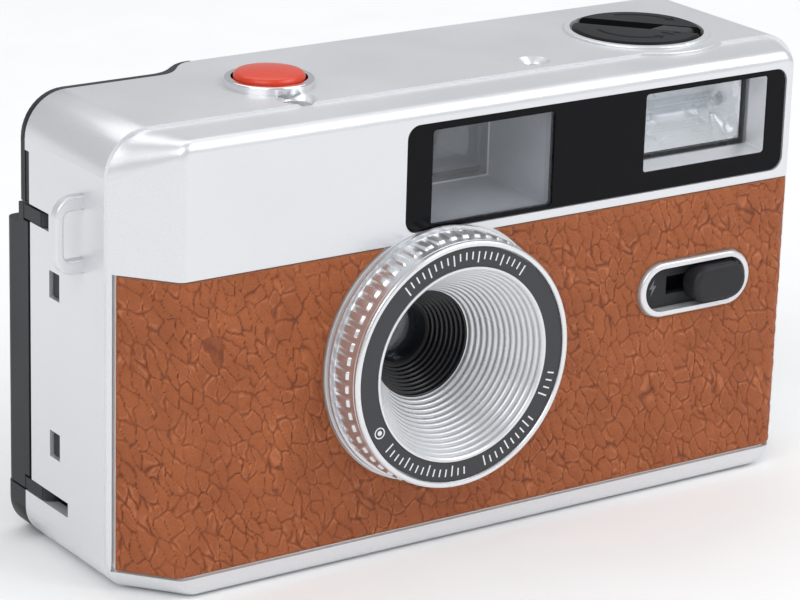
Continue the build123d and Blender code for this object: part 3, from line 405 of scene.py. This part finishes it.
def leather_skin():
    """Front covering: a sheet bent round both front corners, with cells and creases in relief."""
    low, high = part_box("leather_panel")
    corner_half, slant_run, slant_depth = 49.2 * MM, 6.4 * MM, 7.8 * MM
    turn = math.atan2(slant_depth, slant_run)
    bend = 2.2 * MM
    reach = bend * math.tan(turn / 2)
    straight = corner_half - reach
    arc = bend * turn
    end_x = high.x - 0.02 * MM
    tail = (end_x - (corner_half + reach * math.cos(turn))) / math.cos(turn)
    half_length = straight + arc + tail
    pitch = 0.2 * MM
    columns = int(round(2 * half_length / pitch))
    rows = int(round((high.z - low.z) / pitch))
    s_line = np.linspace(-half_length, half_length, columns + 1)
    z_line = np.linspace(low.z + 0.02 * MM, high.z - 0.02 * MM, rows + 1)
    s, z = np.meshgrid(s_line, z_line, indexing="ij")

    def profile(s):
        """x, depth and outward normal along the sheet."""
        side = np.sign(s)
        run = np.abs(s)
        angle = np.clip((run - straight) / bend, 0, turn)
        past = np.maximum(run - straight - arc, 0)
        x = np.minimum(run, straight) + bend * np.sin(angle) + past * math.cos(turn)
        depth = bend * (1 - np.cos(angle)) + past * math.sin(turn)
        return side * x, depth, side * np.sin(angle), -np.cos(angle)

    # cut-outs: the lens ring and the switch bezel
    hole_radius = 18.05 * MM
    bezel_low, bezel_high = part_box("switch_bezel")
    bezel_x, bezel_z = (bezel_low.x + bezel_high.x) / 2, (bezel_low.z + bezel_high.z) / 2
    cap = (bezel_high.z - bezel_low.z) / 2
    half_slot = (bezel_high.x - bezel_low.x) / 2 - cap
    gap = 0.12 * MM

    def edges(s, z):
        """Distance to the nearest cut-out or edge, positive on the leather."""
        lens = np.hypot(s - lens_x, z - lens_z) - hole_radius
        along = s - bezel_x - np.clip(s - bezel_x, -half_slot, half_slot)
        slot = np.hypot(along, z - bezel_z) - cap - gap
        return lens, slot

    lens, slot = edges(s, z)
    for _ in range(2):
        for which, centre in ((0, "lens"), (1, "slot")):
            distance = edges(s, z)[which]
            near = (distance < 0) & (distance > -1.0 * pitch)
            if centre == "lens":
                away_s, away_z = s - lens_x, z - lens_z
            else:
                away_s = s - bezel_x - np.clip(s - bezel_x, -half_slot, half_slot)
                away_z = z - bezel_z
            length = np.maximum(np.hypot(away_s, away_z), 1e-9)
            s = np.where(near, s - distance * away_s / length, s)
            z = np.where(near, z - distance * away_z / length, z)
    lens, slot = edges(s, z)
    keep = (lens > -1e-7) & (slot > -1e-7)
    border = np.minimum(np.minimum(lens, slot),
                        np.minimum(half_length - np.abs(s),
                                   np.minimum(z - z_line[0], z_line[-1] - z)))

    # relief: tall pebbles, smaller ones among them, thin creases with a raised lip
    crease_depth, fine_depth, lip_height, crown_height, swell = (
        0.160 * MM, 0.065 * MM, 0.020 * MM, 0.105 * MM, 0.040 * MM)
    rim_drop, rim_width, sunk = 0.16 * MM, 0.30 * MM, 0.14 * MM
    highest = -0.005 * MM
    drift = 0.55 * MM * smooth_noise(s, z, 2.1 * MM, 3) + 0.20 * MM * smooth_noise(s, z, 0.8 * MM, 5)
    sway = 0.55 * MM * smooth_noise(s, z, 2.1 * MM, 4) + 0.20 * MM * smooth_noise(s, z, 0.8 * MM, 6)
    lean = 0.30 * (z - z_line[0])
    warp_s, warp_z = s + drift + lean, z + sway
    large = cell_grain(warp_s, warp_z, 1.60 * MM, 11, 1.0, 1.85)
    small = cell_grain(warp_s + 5 * MM, warp_z, 0.95 * MM, 12, 1.0, 1.3)
    uneven = 0.5 + 0.5 * smooth_noise(s, z, 2.7 * MM, 8)
    fading = 0.5 + 0.5 * smooth_noise(s, z, 1.6 * MM, 10)
    deep = (1 - ease(large / 0.13)) * (0.62 + 0.38 * uneven)
    shallow = (1 - ease(small / 0.17)) * 0.55 * fading * (1 - deep)
    lip = ease((large - 0.10) / 0.09) * (1 - ease((large - 0.20) / 0.20))
    crown = ease(large / 0.8)
    # the crease mask is painted shade in the colour; the lip mask shapes the relief and is also a
    # painted highlight
    crease_shade = np.clip(deep + 0.55 * shallow, 0, 1)
    ridge_and_highlight = np.clip(lip * fading, 0, 1)
    height = (-crease_depth * deep - fine_depth * shallow + lip_height * ridge_and_highlight
              + crown_height * crown + swell * smooth_noise(s, z, 1.0 * MM, 9))
    rim = ease(border / (0.45 * MM))
    height = height * rim - rim_drop * (1 - ease(border / rim_width))
    height = np.minimum(height - sunk, highest)

    x, depth, normal_x, normal_y = profile(s)
    top = np.stack([x + normal_x * height, front_y + depth + normal_y * height, z], axis=-1)
    inner = -0.57 * MM
    count = top.shape[0] * top.shape[1]
    index = np.arange(count).reshape(top.shape[:2])
    corner_keep = keep[:-1, :-1] & keep[1:, :-1] & keep[1:, 1:] & keep[:-1, 1:]
    corners = np.stack([index[:-1, :-1], index[1:, :-1], index[1:, 1:], index[:-1, 1:]], -1)
    faces = corners[corner_keep]

    # boundary edges, in order of the faces that own them
    pairs = np.concatenate([faces[:, [k, (k + 1) % 4]] for k in range(4)])
    keys = np.sort(pairs, axis=1)
    order = np.lexsort((keys[:, 1], keys[:, 0]))
    keys, pairs = keys[order], pairs[order]
    same = np.all(keys[1:] == keys[:-1], axis=1)
    single = np.ones(len(keys), bool)
    single[1:] &= ~same
    single[:-1] &= ~same
    rim_pairs = pairs[single]
    rim_vertices = np.unique(rim_pairs)
    flat_s, flat_z = s.ravel(), z.ravel()

    # back of the sheet: the outline again, plus the bend's columns, triangulated
    back_points = [Vector((flat_s[v], flat_z[v])) for v in rim_vertices]
    number = {v: k for k, v in enumerate(rim_vertices)}
    constraints = [(number[a], number[b]) for a, b in rim_pairs]
    bend_columns = [i for i, value in enumerate(s_line)
                    if straight - pitch < abs(value) < straight + arc + pitch]
    for i in bend_columns:
        constraints.append((number[index[i, 0]], number[index[i, -1]]))
    flat, _, tri, _, _, _ = delaunay_2d_cdt(back_points, constraints, [], 0, 1e-7)
    flat_points = np.array([(p.x, p.y) for p in flat])
    middle = flat_points[np.array(tri)].mean(axis=1)
    lens_mid, slot_mid = edges(middle[:, 0], middle[:, 1])
    tri = np.array(tri)[(lens_mid > -0.02 * MM) & (slot_mid > -0.02 * MM)]
    bx, bd, bnx, bny = profile(flat_points[:, 0])
    back = np.stack([bx + bnx * inner, front_y + bd + bny * inner, flat_points[:, 1]], -1)

    used = np.unique(faces)
    renumber = np.full(count, -1)
    renumber[used] = np.arange(len(used))
    vertices = np.concatenate([top.reshape(-1, 3)[used], back])
    offset = len(used)
    # the triangulation may reorder points, so match the outline by place
    lookup = {(round(p[0], 7), round(p[1], 7)): k for k, p in enumerate(flat_points)}
    mate = {v: lookup[(round(back_points[number[v]].x, 7), round(back_points[number[v]].y, 7))]
            for v in rim_vertices}
    all_faces = [tuple(renumber[f]) for f in faces]
    all_faces += [(renumber[b], renumber[a], offset + mate[a], offset + mate[b])
                  for a, b in rim_pairs]
    ahead = np.cross(flat_points[tri[:, 1]] - flat_points[tri[:, 0]],
                     flat_points[tri[:, 2]] - flat_points[tri[:, 0]])
    all_faces += [(offset + t[0], offset + t[2], offset + t[1]) if turn_way > 0 else
                  (offset + t[0], offset + t[1], offset + t[2]) for t, turn_way in zip(tri, ahead)]
    piece = make_piece("leather_skin", vertices, all_faces, materials["leatherette"], 60)
    cut_edge = 1 - ease(border / (0.22 * MM))
    # these values paint shade into the creases and a highlight onto the lips
    for name, field, below in (("crease_shade", crease_shade, 0), ("ridge_and_highlight", ridge_and_highlight, 0),
                               ("cut_edge", cut_edge, 0.8)):
        values = np.full(len(vertices), below, np.float32)
        values[:offset] = field.ravel()[used]
        attribute = piece.data.attributes.new(name, "FLOAT", "POINT")
        attribute.data.foreach_set("value", values)
    finish_piece(piece, "case", "leatherette", "leather_panel")


leather_skin()


# ---- turned pieces ----
def lathe(name, profile, origin, axis, material, around=96, fall=None, ring=True, smooth=30):
    """Turned piece from (radius, height, fall) or (radius, height) points in millimetres.

    fall is how far the surface drops at each step round it, as a share of the point's own fall.
    A ring joins its last point to its first; other pieces are closed by end caps."""
    side = Vector((1, 0, 0))
    cross = axis.cross(side)
    angles = np.arange(around) / around * 2 * math.pi
    along = np.array(axis)
    outward = np.outer(np.cos(angles), np.array(side)) + np.outer(np.sin(angles), np.array(cross))
    rows = []
    for point in profile:
        radius = np.full(around, point[0])
        if fall is not None:
            radius = radius - point[2] * fall
        rows.append(np.array(origin) + along * point[1] * MM + outward * radius[:, None] * MM)
    faces = []
    count = len(profile)
    for i in range(count if ring else count - 1):
        j = (i + 1) % count
        for k in range(around):
            n = (k + 1) % around
            faces.append((i * around + k, i * around + n, j * around + n, j * around + k))
    if not ring:
        faces.append(tuple(range(around)))
        faces.append(tuple((count - 1) * around + k for k in range(around)))
    return make_piece(name, np.concatenate(rows), faces, material, smooth, True)


BACKWARDS = Vector((0, 1, 0))
UP = Vector((0, 0, 1))
lens_origin = (lens_x, front_y, lens_z)


def lens_grip():
    """Knurled grip: ridges with chamfered front ends, a plain band and a bright rim."""
    flutes, per = 56, 16
    place = (np.arange(flutes * per) % per) / per
    across = np.abs(place - 0.5) * 2
    fall = np.clip((across - 0.46) / 0.30, 0, 1)
    profile = [(13.55, -0.05, 0), (17.40, -0.05, 0), (17.62, -0.14, 0), (17.64, -0.50, 0),
               (17.58, -0.66, 0), (17.00, -0.74, 0), (16.88, -0.86, 0), (16.92, -1.00, 0),
               (17.26, -1.12, 0.30), (17.30, -1.24, 0.36), (17.30, -2.40, 0.36),
               (17.30, -3.72, 0.36), (17.27, -3.84, 0.33), (16.96, -4.16, 0.02),
               (16.95, -4.24, 0), (16.95, -4.70, 0), (16.95, -5.16, 0), (16.84, -5.22, 0),
               (16.84, -5.30, 0), (16.97, -5.36, 0), (16.99, -5.46, 0), (16.98, -5.72, 0),
               (16.90, -5.88, 0), (16.74, -5.98, 0), (16.46, -5.98, 0), (16.28, -5.93, 0),
               (16.20, -5.80, 0), (16.17, -5.25, 0), (13.55, -5.16, 0)]
    piece = lathe("lens_grip", profile, lens_origin, BACKWARDS, satin_metal, flutes * per, fall,
                  smooth=24)
    finish_piece(piece, "case", "silver_paint", "lens_ring")


def ribbed_cone():
    """Black cone round the lens, with fine anti-glare ribs."""
    ribs, outside, mouth, throat, front, back = 8, 8.35, 7.35, 4.45, 4.05, 8.85
    run = (back - front) / ribs
    profile = [(outside, front)]
    for rib in range(ribs):
        radius = mouth - (mouth - throat) * rib / ribs
        depth = front + run * rib
        profile += [(radius, depth), (radius - 0.10, depth + 0.12 * run),
                    (radius - 0.12, depth + 0.30 * run), (radius + 0.06, depth + 0.50 * run),
                    (radius + 0.04, depth + 0.90 * run)]
    profile += [(throat, back), (outside, back)]
    piece = lathe("ribbed_cone", profile, lens_origin, BACKWARDS, cone_black, 128, smooth=20)
    finish_piece(piece, "case", "black_plastic", "inner_cone")


def stepped_cone():
    """Bright cone in front of the lens, turned in round beads with a dark groove behind each."""
    low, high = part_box("cone_baffle")
    mouth, throat, seat, steps = 13.05, 7.45, 13.42, 13
    front, back = (front_y - low.y) / MM - 0.12, (front_y - high.y) / MM + 0.05
    inward, run = (mouth - throat) / steps, (front - back - 0.1) / steps
    profile = [(seat, front), (13.10, front)]
    for step in range(steps):
        radius = mouth - inward * step
        depth = front - 0.06 - run * step
        profile += [(radius, depth), (radius - 0.30 * inward, depth - 0.10 * run),
                    (radius - 0.52 * inward, depth - 0.30 * run),
                    (radius - 0.62 * inward, depth - 0.55 * run),
                    (radius - 0.62 * inward, depth - 0.82 * run),
                    (radius - 0.40 * inward, depth - 0.93 * run)]
    profile += [(throat, back), (throat + 1.0, back), (seat, front - 1.2)]
    piece = lathe("stepped_cone", profile, lens_origin, -BACKWARDS, cone_metal, 192, smooth=24)
    finish_piece(piece, "case", "silver_paint", "cone_baffle")


def domed_button():
    """Orange-red shutter button with a soft crown, and the stem below it."""
    low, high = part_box("shutter_button")
    origin = ((low.x + high.x) / 2, (low.y + high.y) / 2, 0)
    top, base = high.z / MM, low.z / MM
    skirt, stem, cap, crown = base + 5.2, 1.48, 4.78, 0.55
    profile = [(1.45, base), (stem, base + 0.1), (stem, skirt), (4.6, skirt), (cap, skirt + 0.15),
               (cap, top - 1.15), (4.74, top - 0.90), (4.62, top - 0.66), (4.40, top - 0.46)]
    for share in (0.85, 0.72, 0.58, 0.42, 0.26, 0.12, 0.02):
        profile.append((cap * share, top - crown * share**2))
    piece = lathe("domed_button", profile, origin, UP, materials["red_plastic"], 96, ring=False,
                  smooth=35)
    finish_piece(piece, "button", "red_plastic", "shutter_button")


lens_grip()
ribbed_cone()
stepped_cone()
domed_button()


# ---- flat marks ----
def plates(name, outlines, origin, right, up, thickness, material, body, slot):
    """Thin raised marks: flat outlines in millimetres, standing off a face along right x up."""
    normal = right.cross(up)
    vertices, faces = [], []
    for outline in outlines:
        count, first = len(outline), len(vertices)
        for lift in (-0.02 * MM, thickness):
            for a, b in outline:
                vertices.append(origin + right * a * MM + up * b * MM + normal * lift)
        faces.append(tuple(first + k for k in reversed(range(count))))
        faces.append(tuple(first + count + k for k in range(count)))
        for k in range(count):
            n = (k + 1) % count
            faces.append((first + k, first + n, first + count + n, first + count + k))
    piece = make_piece(name, vertices, faces, material, 0, True)
    finish_piece(piece, body, slot)
    return piece


def turn_point(angle, radius):
    """Point at an angle in degrees, counted from right towards up."""
    return radius * math.cos(math.radians(angle)), radius * math.sin(math.radians(angle))


def stroke(angle, inner, outer, width):
    """Radial stroke."""
    (a, b), (c, d) = turn_point(angle, inner), turn_point(angle, outer)
    e, f = turn_point(angle + 90, width / 2)
    return [(a - e, b - f), (c - e, d - f), (c + e, d + f), (a + e, b + f)]


def dot(angle, radius, size, sides=20):
    """Small disc."""
    a, b = turn_point(angle, radius)
    return [(a + size * math.cos(2 * math.pi * k / sides), b + size * math.sin(2 * math.pi * k / sides))
            for k in range(sides)]


def arc_band(start, end, radius, width, steps=24):
    """Part of a ring, as four-sided stretches."""
    marks = []
    for k in range(steps):
        first = start + (end - start) * k / steps
        last = start + (end - start) * (k + 1) / steps
        marks.append([turn_point(first, radius - width / 2), turn_point(last, radius - width / 2),
                      turn_point(last, radius + width / 2), turn_point(first, radius + width / 2)])
    return marks


RIGHT = Vector((1, 0, 0))


def ring_marks():
    """Plain white scale on the name ring: two runs of strokes and a dot in a circle."""
    marks = []
    for start, end, step in ((52, 128, 3.8), (-140, -88, 3.8), (-74, -38, 3.8), (-26, -14, 4.0)):
        count = int(round((end - start) / step))
        for k in range(count + 1):
            long = k % 4 == 0
            marks.append(stroke(start + k * step, 14.0 if long else 14.45, 15.5, 0.20))
    sign_angle, sign_radius = -151, 14.75
    marks.append(dot(sign_angle, sign_radius, 0.34))
    a, b = turn_point(sign_angle, sign_radius)
    for band in arc_band(0, 360, 0.72, 0.16):
        marks.append([(a + c, b + d) for c, d in band])
    origin = Vector((lens_x, lens_low.y, lens_z))
    plates("ring_marks", marks, origin, RIGHT, UP, 0.02 * MM, white_ink, "case", "white_plastic")


def knob_marks():
    """Two curved arrows on the rewind knob's top, painted darker than the knob as the shade in their
    engraved grooves.
    """
    line, wing, tip_turn = 0.50, 0.95, 11
    marks = []
    arrows = ((166, 262, 5.9, 1), (78, 14, 7.2, -1))
    for start, end, radius, _ in arrows:
        marks += arc_band(start, end, radius, line)
    for _, angle, radius, way in arrows:
        tip = turn_point(angle + way * tip_turn, radius)
        wing_in, wing_out = turn_point(angle, radius - wing), turn_point(angle, radius + wing)
        marks.append([wing_in, wing_out, tip] if way > 0 else [wing_out, wing_in, tip])
    marks += [stroke(-72, 4.2, 6.2, line), stroke(-60, 5.6, 6.6, line)]
    origin = Vector((knob_x, knob_y, knob_high.z))
    # painted shade: the arrows are drawn darker than the knob
    plates("knob_marks", marks, origin, RIGHT, BACKWARDS, 0.02 * MM, ink_and_groove_shade, "rewind",
           "gloss_black")


def switch_mark():
    """Plain lightning bolt, the common sign for a flash, in the switch's well."""
    tray_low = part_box("switch_tray")[0]
    bezel_low, bezel_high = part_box("switch_bezel")
    bolt = [(0.30, 1.25), (-0.62, -0.18), (-0.08, -0.12), (-0.34, -1.25), (0.62, 0.26), (0.06, 0.20)]
    origin = Vector((bezel_low.x + 3.3 * MM, tray_low.y, (bezel_low.z + bezel_high.z) / 2))
    plates("switch_mark", [bolt], origin, RIGHT, UP, 0.03 * MM, grey_ink, "case", "grey_plastic")


def dial_numbers():
    """Frame numbers and dots on the counter dial."""
    low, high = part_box("counter_dial")
    centre = Vector(((low.x + high.x) / 2, (low.y + high.y) / 2, high.z))
    frames, spaced, radius = 76, 4, 5.3 * MM
    marks = [dot(360 * k / frames, 6.6, 0.13 if k % spaced else 0.2, 10) for k in range(0, frames, 2)]
    plates("dial_dots", marks, centre, RIGHT, BACKWARDS, 0.02 * MM, ink_and_groove_shade, "counter",
           "gloss_black")
    shape = bmesh.new()
    for k in range(0, frames - 3, spaced):
        text = bpy.data.curves.new("number", "FONT")
        text.body = str(k)
        text.size = 1.35 * MM
        text.extrude = 0.012 * MM
        text.align_x, text.align_y = "CENTER", "CENTER"
        holder = bpy.data.objects.new("number", text)
        mesh = bpy.data.meshes.new_from_object(holder)
        angle = 2 * math.pi * k / frames
        place = Vector((math.cos(angle), math.sin(angle), 0)) * radius + centre
        mesh.transform(Matrix.Translation(place) @ Matrix.Rotation(angle - math.pi / 2, 4, "Z"))
        shape.from_mesh(mesh)
        bpy.data.meshes.remove(mesh)
        bpy.data.objects.remove(holder)
    mesh = bpy.data.meshes.new("dial_numbers")
    shape.to_mesh(mesh)
    shape.free()
    mesh.materials.clear()
    mesh.materials.append(ink_and_groove_shade)
    piece = bpy.data.objects.new("dial_numbers", mesh)
    bpy.context.scene.collection.objects.link(piece)
    finish_piece(piece, "counter", "gloss_black")


ring_marks()
knob_marks()
switch_mark()
dial_numbers()


# ---- flash reflector ----
def flash_mirror():
    """Metallised trough, crumpled into flat facets towards its ends."""
    low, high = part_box("flash_reflector")
    left, right = low.x + 0.4 * MM, high.x - 0.4 * MM
    base, top = low.z + 0.4 * MM, high.z - 0.4 * MM
    front, deep = low.y + 0.1 * MM, 4.15 * MM
    tube_low, tube_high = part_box("flash_tube")
    tube_z = (tube_low.z + tube_high.z) / 2
    x, z = np.meshgrid(np.linspace(left, right, 151), np.linspace(base, top, 71), indexing="ij")
    share = np.where(z > tube_z, (z - tube_z) / (top - tube_z), (tube_z - z) / (tube_z - base))
    ends = np.minimum(x - left, right - x)
    depth = deep * (1 - share**2) * ease(ends / (2.6 * MM))
    facets, steepest, facet_height = 90, 0.30, 0.22 * MM
    random = np.random.default_rng(21)
    points = np.stack([random.uniform(left, right, facets), random.uniform(base, top, facets)], -1)
    tilt = random.uniform(-steepest, steepest, (facets, 2))
    gaps = np.hypot(x[..., None] - points[:, 0], z[..., None] - points[:, 1])
    near = gaps.argmin(-1)
    facet = (tilt[near, 0] * (x - points[near, 0]) + tilt[near, 1] * (z - points[near, 1]))
    crumple = 1 - ease((ends - 4.5 * MM) / (3.5 * MM))
    edge_free = ease(np.minimum(ends, np.minimum(z - base, top - z)) / (0.5 * MM))
    depth = depth + np.clip(facet, -facet_height, facet_height) * crumple * edge_free
    skin = 0.25 * MM
    rows, columns = x.shape
    layers = [np.stack([x, front + depth + lift, z], -1).reshape(-1, 3) for lift in (0, skin)]
    index = np.arange(rows * columns).reshape(rows, columns)
    faces = []
    for layer in range(2):
        shift = index + layer * rows * columns
        faces += np.stack([shift[:-1, :-1], shift[1:, :-1], shift[1:, 1:], shift[:-1, 1:]],
                          -1).reshape(-1, 4).tolist()
    rim = list(index[:, 0]) + list(index[-1, 1:]) + list(index[-2::-1, -1]) + list(index[0, -2:0:-1])
    for k, here in enumerate(rim):
        ahead = rim[(k + 1) % len(rim)]
        faces.append((here, ahead, ahead + rows * columns, here + rows * columns))
    piece = make_piece("flash_mirror", np.concatenate(layers), faces, materials["chrome_film"], 12,
                       True)
    finish_piece(piece, "case", "chrome_film", "flash_reflector")


BEVEL_STEPS = 5    # faces round each corner


def flash_bevel():
    """Silver bevel round the flash, from the black panel's face down to the flash lens."""
    low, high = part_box("flash_frame")
    glass_low, glass_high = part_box("flash_lens")
    panel_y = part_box("window_panel")[0].y
    gap = 0.03 * MM
    mouth_y, floor_y = panel_y + 0.10 * MM, glass_low.y - gap
    left, right, base, top = (low.x + 0.42 * MM, high.x - 0.42 * MM, low.z + 0.37 * MM,
                              high.z - 0.32 * MM)
    inner = (glass_low.x + 0.05 * MM, glass_high.x - 0.05 * MM, glass_low.z + 0.05 * MM,
             glass_high.z - 0.05 * MM)
    mouth = (left, right, base, top)
    vertices, faces = [], []
    for (x0, x1, z0, z1), y, round_off in ((mouth, mouth_y, 0.5 * MM), (inner, floor_y, 0.3 * MM),
                                           (inner, floor_y + 0.02 * MM, 0.3 * MM),
                                           (mouth, mouth_y + 0.12 * MM, 0.5 * MM)):
        corners = ((x0, z0, 1, 1), (x1, z0, -1, 1), (x1, z1, -1, -1), (x0, z1, 1, -1))
        for number, (x, z, way_x, way_z) in enumerate(corners):
            for step in range(BEVEL_STEPS + 1):
                angle = math.radians(180 + 90 * number + 90 * step / BEVEL_STEPS)
                vertices.append((x + way_x * round_off + round_off * math.cos(angle), y,
                                 z + way_z * round_off + round_off * math.sin(angle)))
    around = 4 * (BEVEL_STEPS + 1)
    for ring in range(4):
        ahead = (ring + 1) % 4
        for k in range(around):
            n = (k + 1) % around
            faces.append((ring * around + k, ring * around + n, ahead * around + n,
                          ahead * around + k))
    piece = make_piece("flash_bevel", vertices, faces, materials["silver_satin"], 0, True)
    finish_piece(piece, "case", "silver_satin")


def finder_rim():
    """Pale frame round the finder's front lens: a painted highlight where the light catches its edge.
    """
    low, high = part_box("finder_front_lens")
    width, front, back = 0.22 * MM, low.y - 0.22 * MM, low.y - 0.02 * MM
    vertices, faces = [], []
    for y in (front, back):
        for inset in (-0.02 * MM, width):
            vertices += [(low.x + inset, y, low.z + inset), (high.x - inset, y, low.z + inset),
                         (high.x - inset, y, high.z - inset), (low.x + inset, y, high.z - inset)]
    for k in range(4):
        n = (k + 1) % 4
        faces += [(k, n, 4 + n, 4 + k), (8 + k, 8 + n, 12 + n, 12 + k), (k, n, 8 + n, 8 + k),
                  (4 + k, 4 + n, 12 + n, 12 + k)]
    # painted highlight: a pale frame on the clear lens's edge
    piece = make_piece("finder_rim", vertices, faces, edge_highlight, 0, True)
    bevel = piece.modifiers.new("round", "BEVEL")
    bevel.width, bevel.segments = 0.05 * MM, 2
    finish_piece(piece, "case", "clear_plastic")


flash_mirror()
flash_bevel()
finder_rim()

# ---- small rounds on moulded edges ----
soften("body_shell", 0.12 * MM, 24, 3)
for node, width in (("window_panel", 0.12), ("strap_lug", 0.25), ("film_door", 0.20),
                    ("rear_cover", 0.15), ("switch_bezel", 0.10), ("rewind_knob", 0.10),
                    ("rewind_crank", 0.12), ("door_latch", 0.10), ("thumb_wheel", 0.08),
                    ("battery_door", 0.12)):
    soften(node, width * MM)


# ---- floor, lights, camera ----
def make_floor():
    """Plain pale floor under the object."""
    size = 3.0
    piece = make_piece("floor", [(-size, -size, 0), (size, -size, 0), (size, size, 0),
                                 (-size, size, 0)], [(0, 1, 2, 3)],
                       surface("floor_white", (0.93, 0.93, 0.93), 0.6, 0, 0.01, 0.004, 0), 0)
    piece.location.z = -0.0002


def softbox(name, azimuth, elevation, distance, width, height, power, colour=(1, 1, 1)):
    """Rectangular area light that faces the object."""
    lamp = bpy.data.lights.new(name, "AREA")
    lamp.shape = "RECTANGLE"
    lamp.size = width
    lamp.size_y = height
    lamp.energy = power
    lamp.color = colour
    holder = bpy.data.objects.new(name, lamp)
    a, e = math.radians(azimuth), math.radians(elevation)
    back = Vector((math.sin(a) * math.cos(e), -math.cos(a) * math.cos(e), math.sin(e)))
    holder.location = Vector((0, 0, 0.03)) + back * distance
    holder.rotation_mode = "QUATERNION"
    holder.rotation_quaternion = back.to_track_quat("Z", "Y")
    bpy.context.scene.collection.objects.link(holder)


def make_world():
    """Even grey surroundings."""
    world = bpy.data.worlds.new("studio")
    world.use_nodes = True
    background = world.node_tree.nodes["Background"]
    background.inputs["Color"].default_value = (0.95, 0.97, 1.0, 1)
    background.inputs["Strength"].default_value = WORLD
    bpy.context.scene.world = world


def make_camera():
    """Camera at the photograph's viewing angle."""
    azimuth, elevation, roll = math.radians(-34.72), math.radians(18.56), math.radians(1.72)
    distance, target = 461.2 * MM, Vector((-7.8, -4.0, 30.7)) * MM
    back = Vector((math.sin(azimuth) * math.cos(elevation),
                   -math.cos(azimuth) * math.cos(elevation), math.sin(elevation)))
    right = Vector((math.cos(azimuth), math.sin(azimuth), 0))
    up = back.cross(right)
    turned_right = right * math.cos(roll) + up * math.sin(roll)
    turned_up = up * math.cos(roll) - right * math.sin(roll)
    data = bpy.data.cameras.new("camera")
    data.sensor_width = 36
    data.lens = 153.5
    data.clip_start, data.clip_end = 0.02, 20
    camera = bpy.data.objects.new("camera", data)
    rotation = Matrix((turned_right, turned_up, back)).transposed()
    camera.matrix_world = Matrix.Translation(target + back * distance) @ rotation.to_4x4()
    bpy.context.scene.collection.objects.link(camera)
    bpy.context.scene.camera = camera


KEY, FILL, TOP, STRIP, WORLD = 6.9, 5.5, 4.1, 3.2, 0.48
make_floor()
make_world()
softbox("key", -62, 42, 1.3, 1.0, 0.9, KEY)
softbox("fill", 38, 34, 1.4, 1.0, 0.8, FILL)
softbox("top", 170, 62, 1.3, 1.2, 0.8, TOP)
softbox("strip", 60, 54, 1.2, 1.3, 0.5, STRIP)
make_camera()
bpy.context.scene.view_settings.view_transform = "Standard"
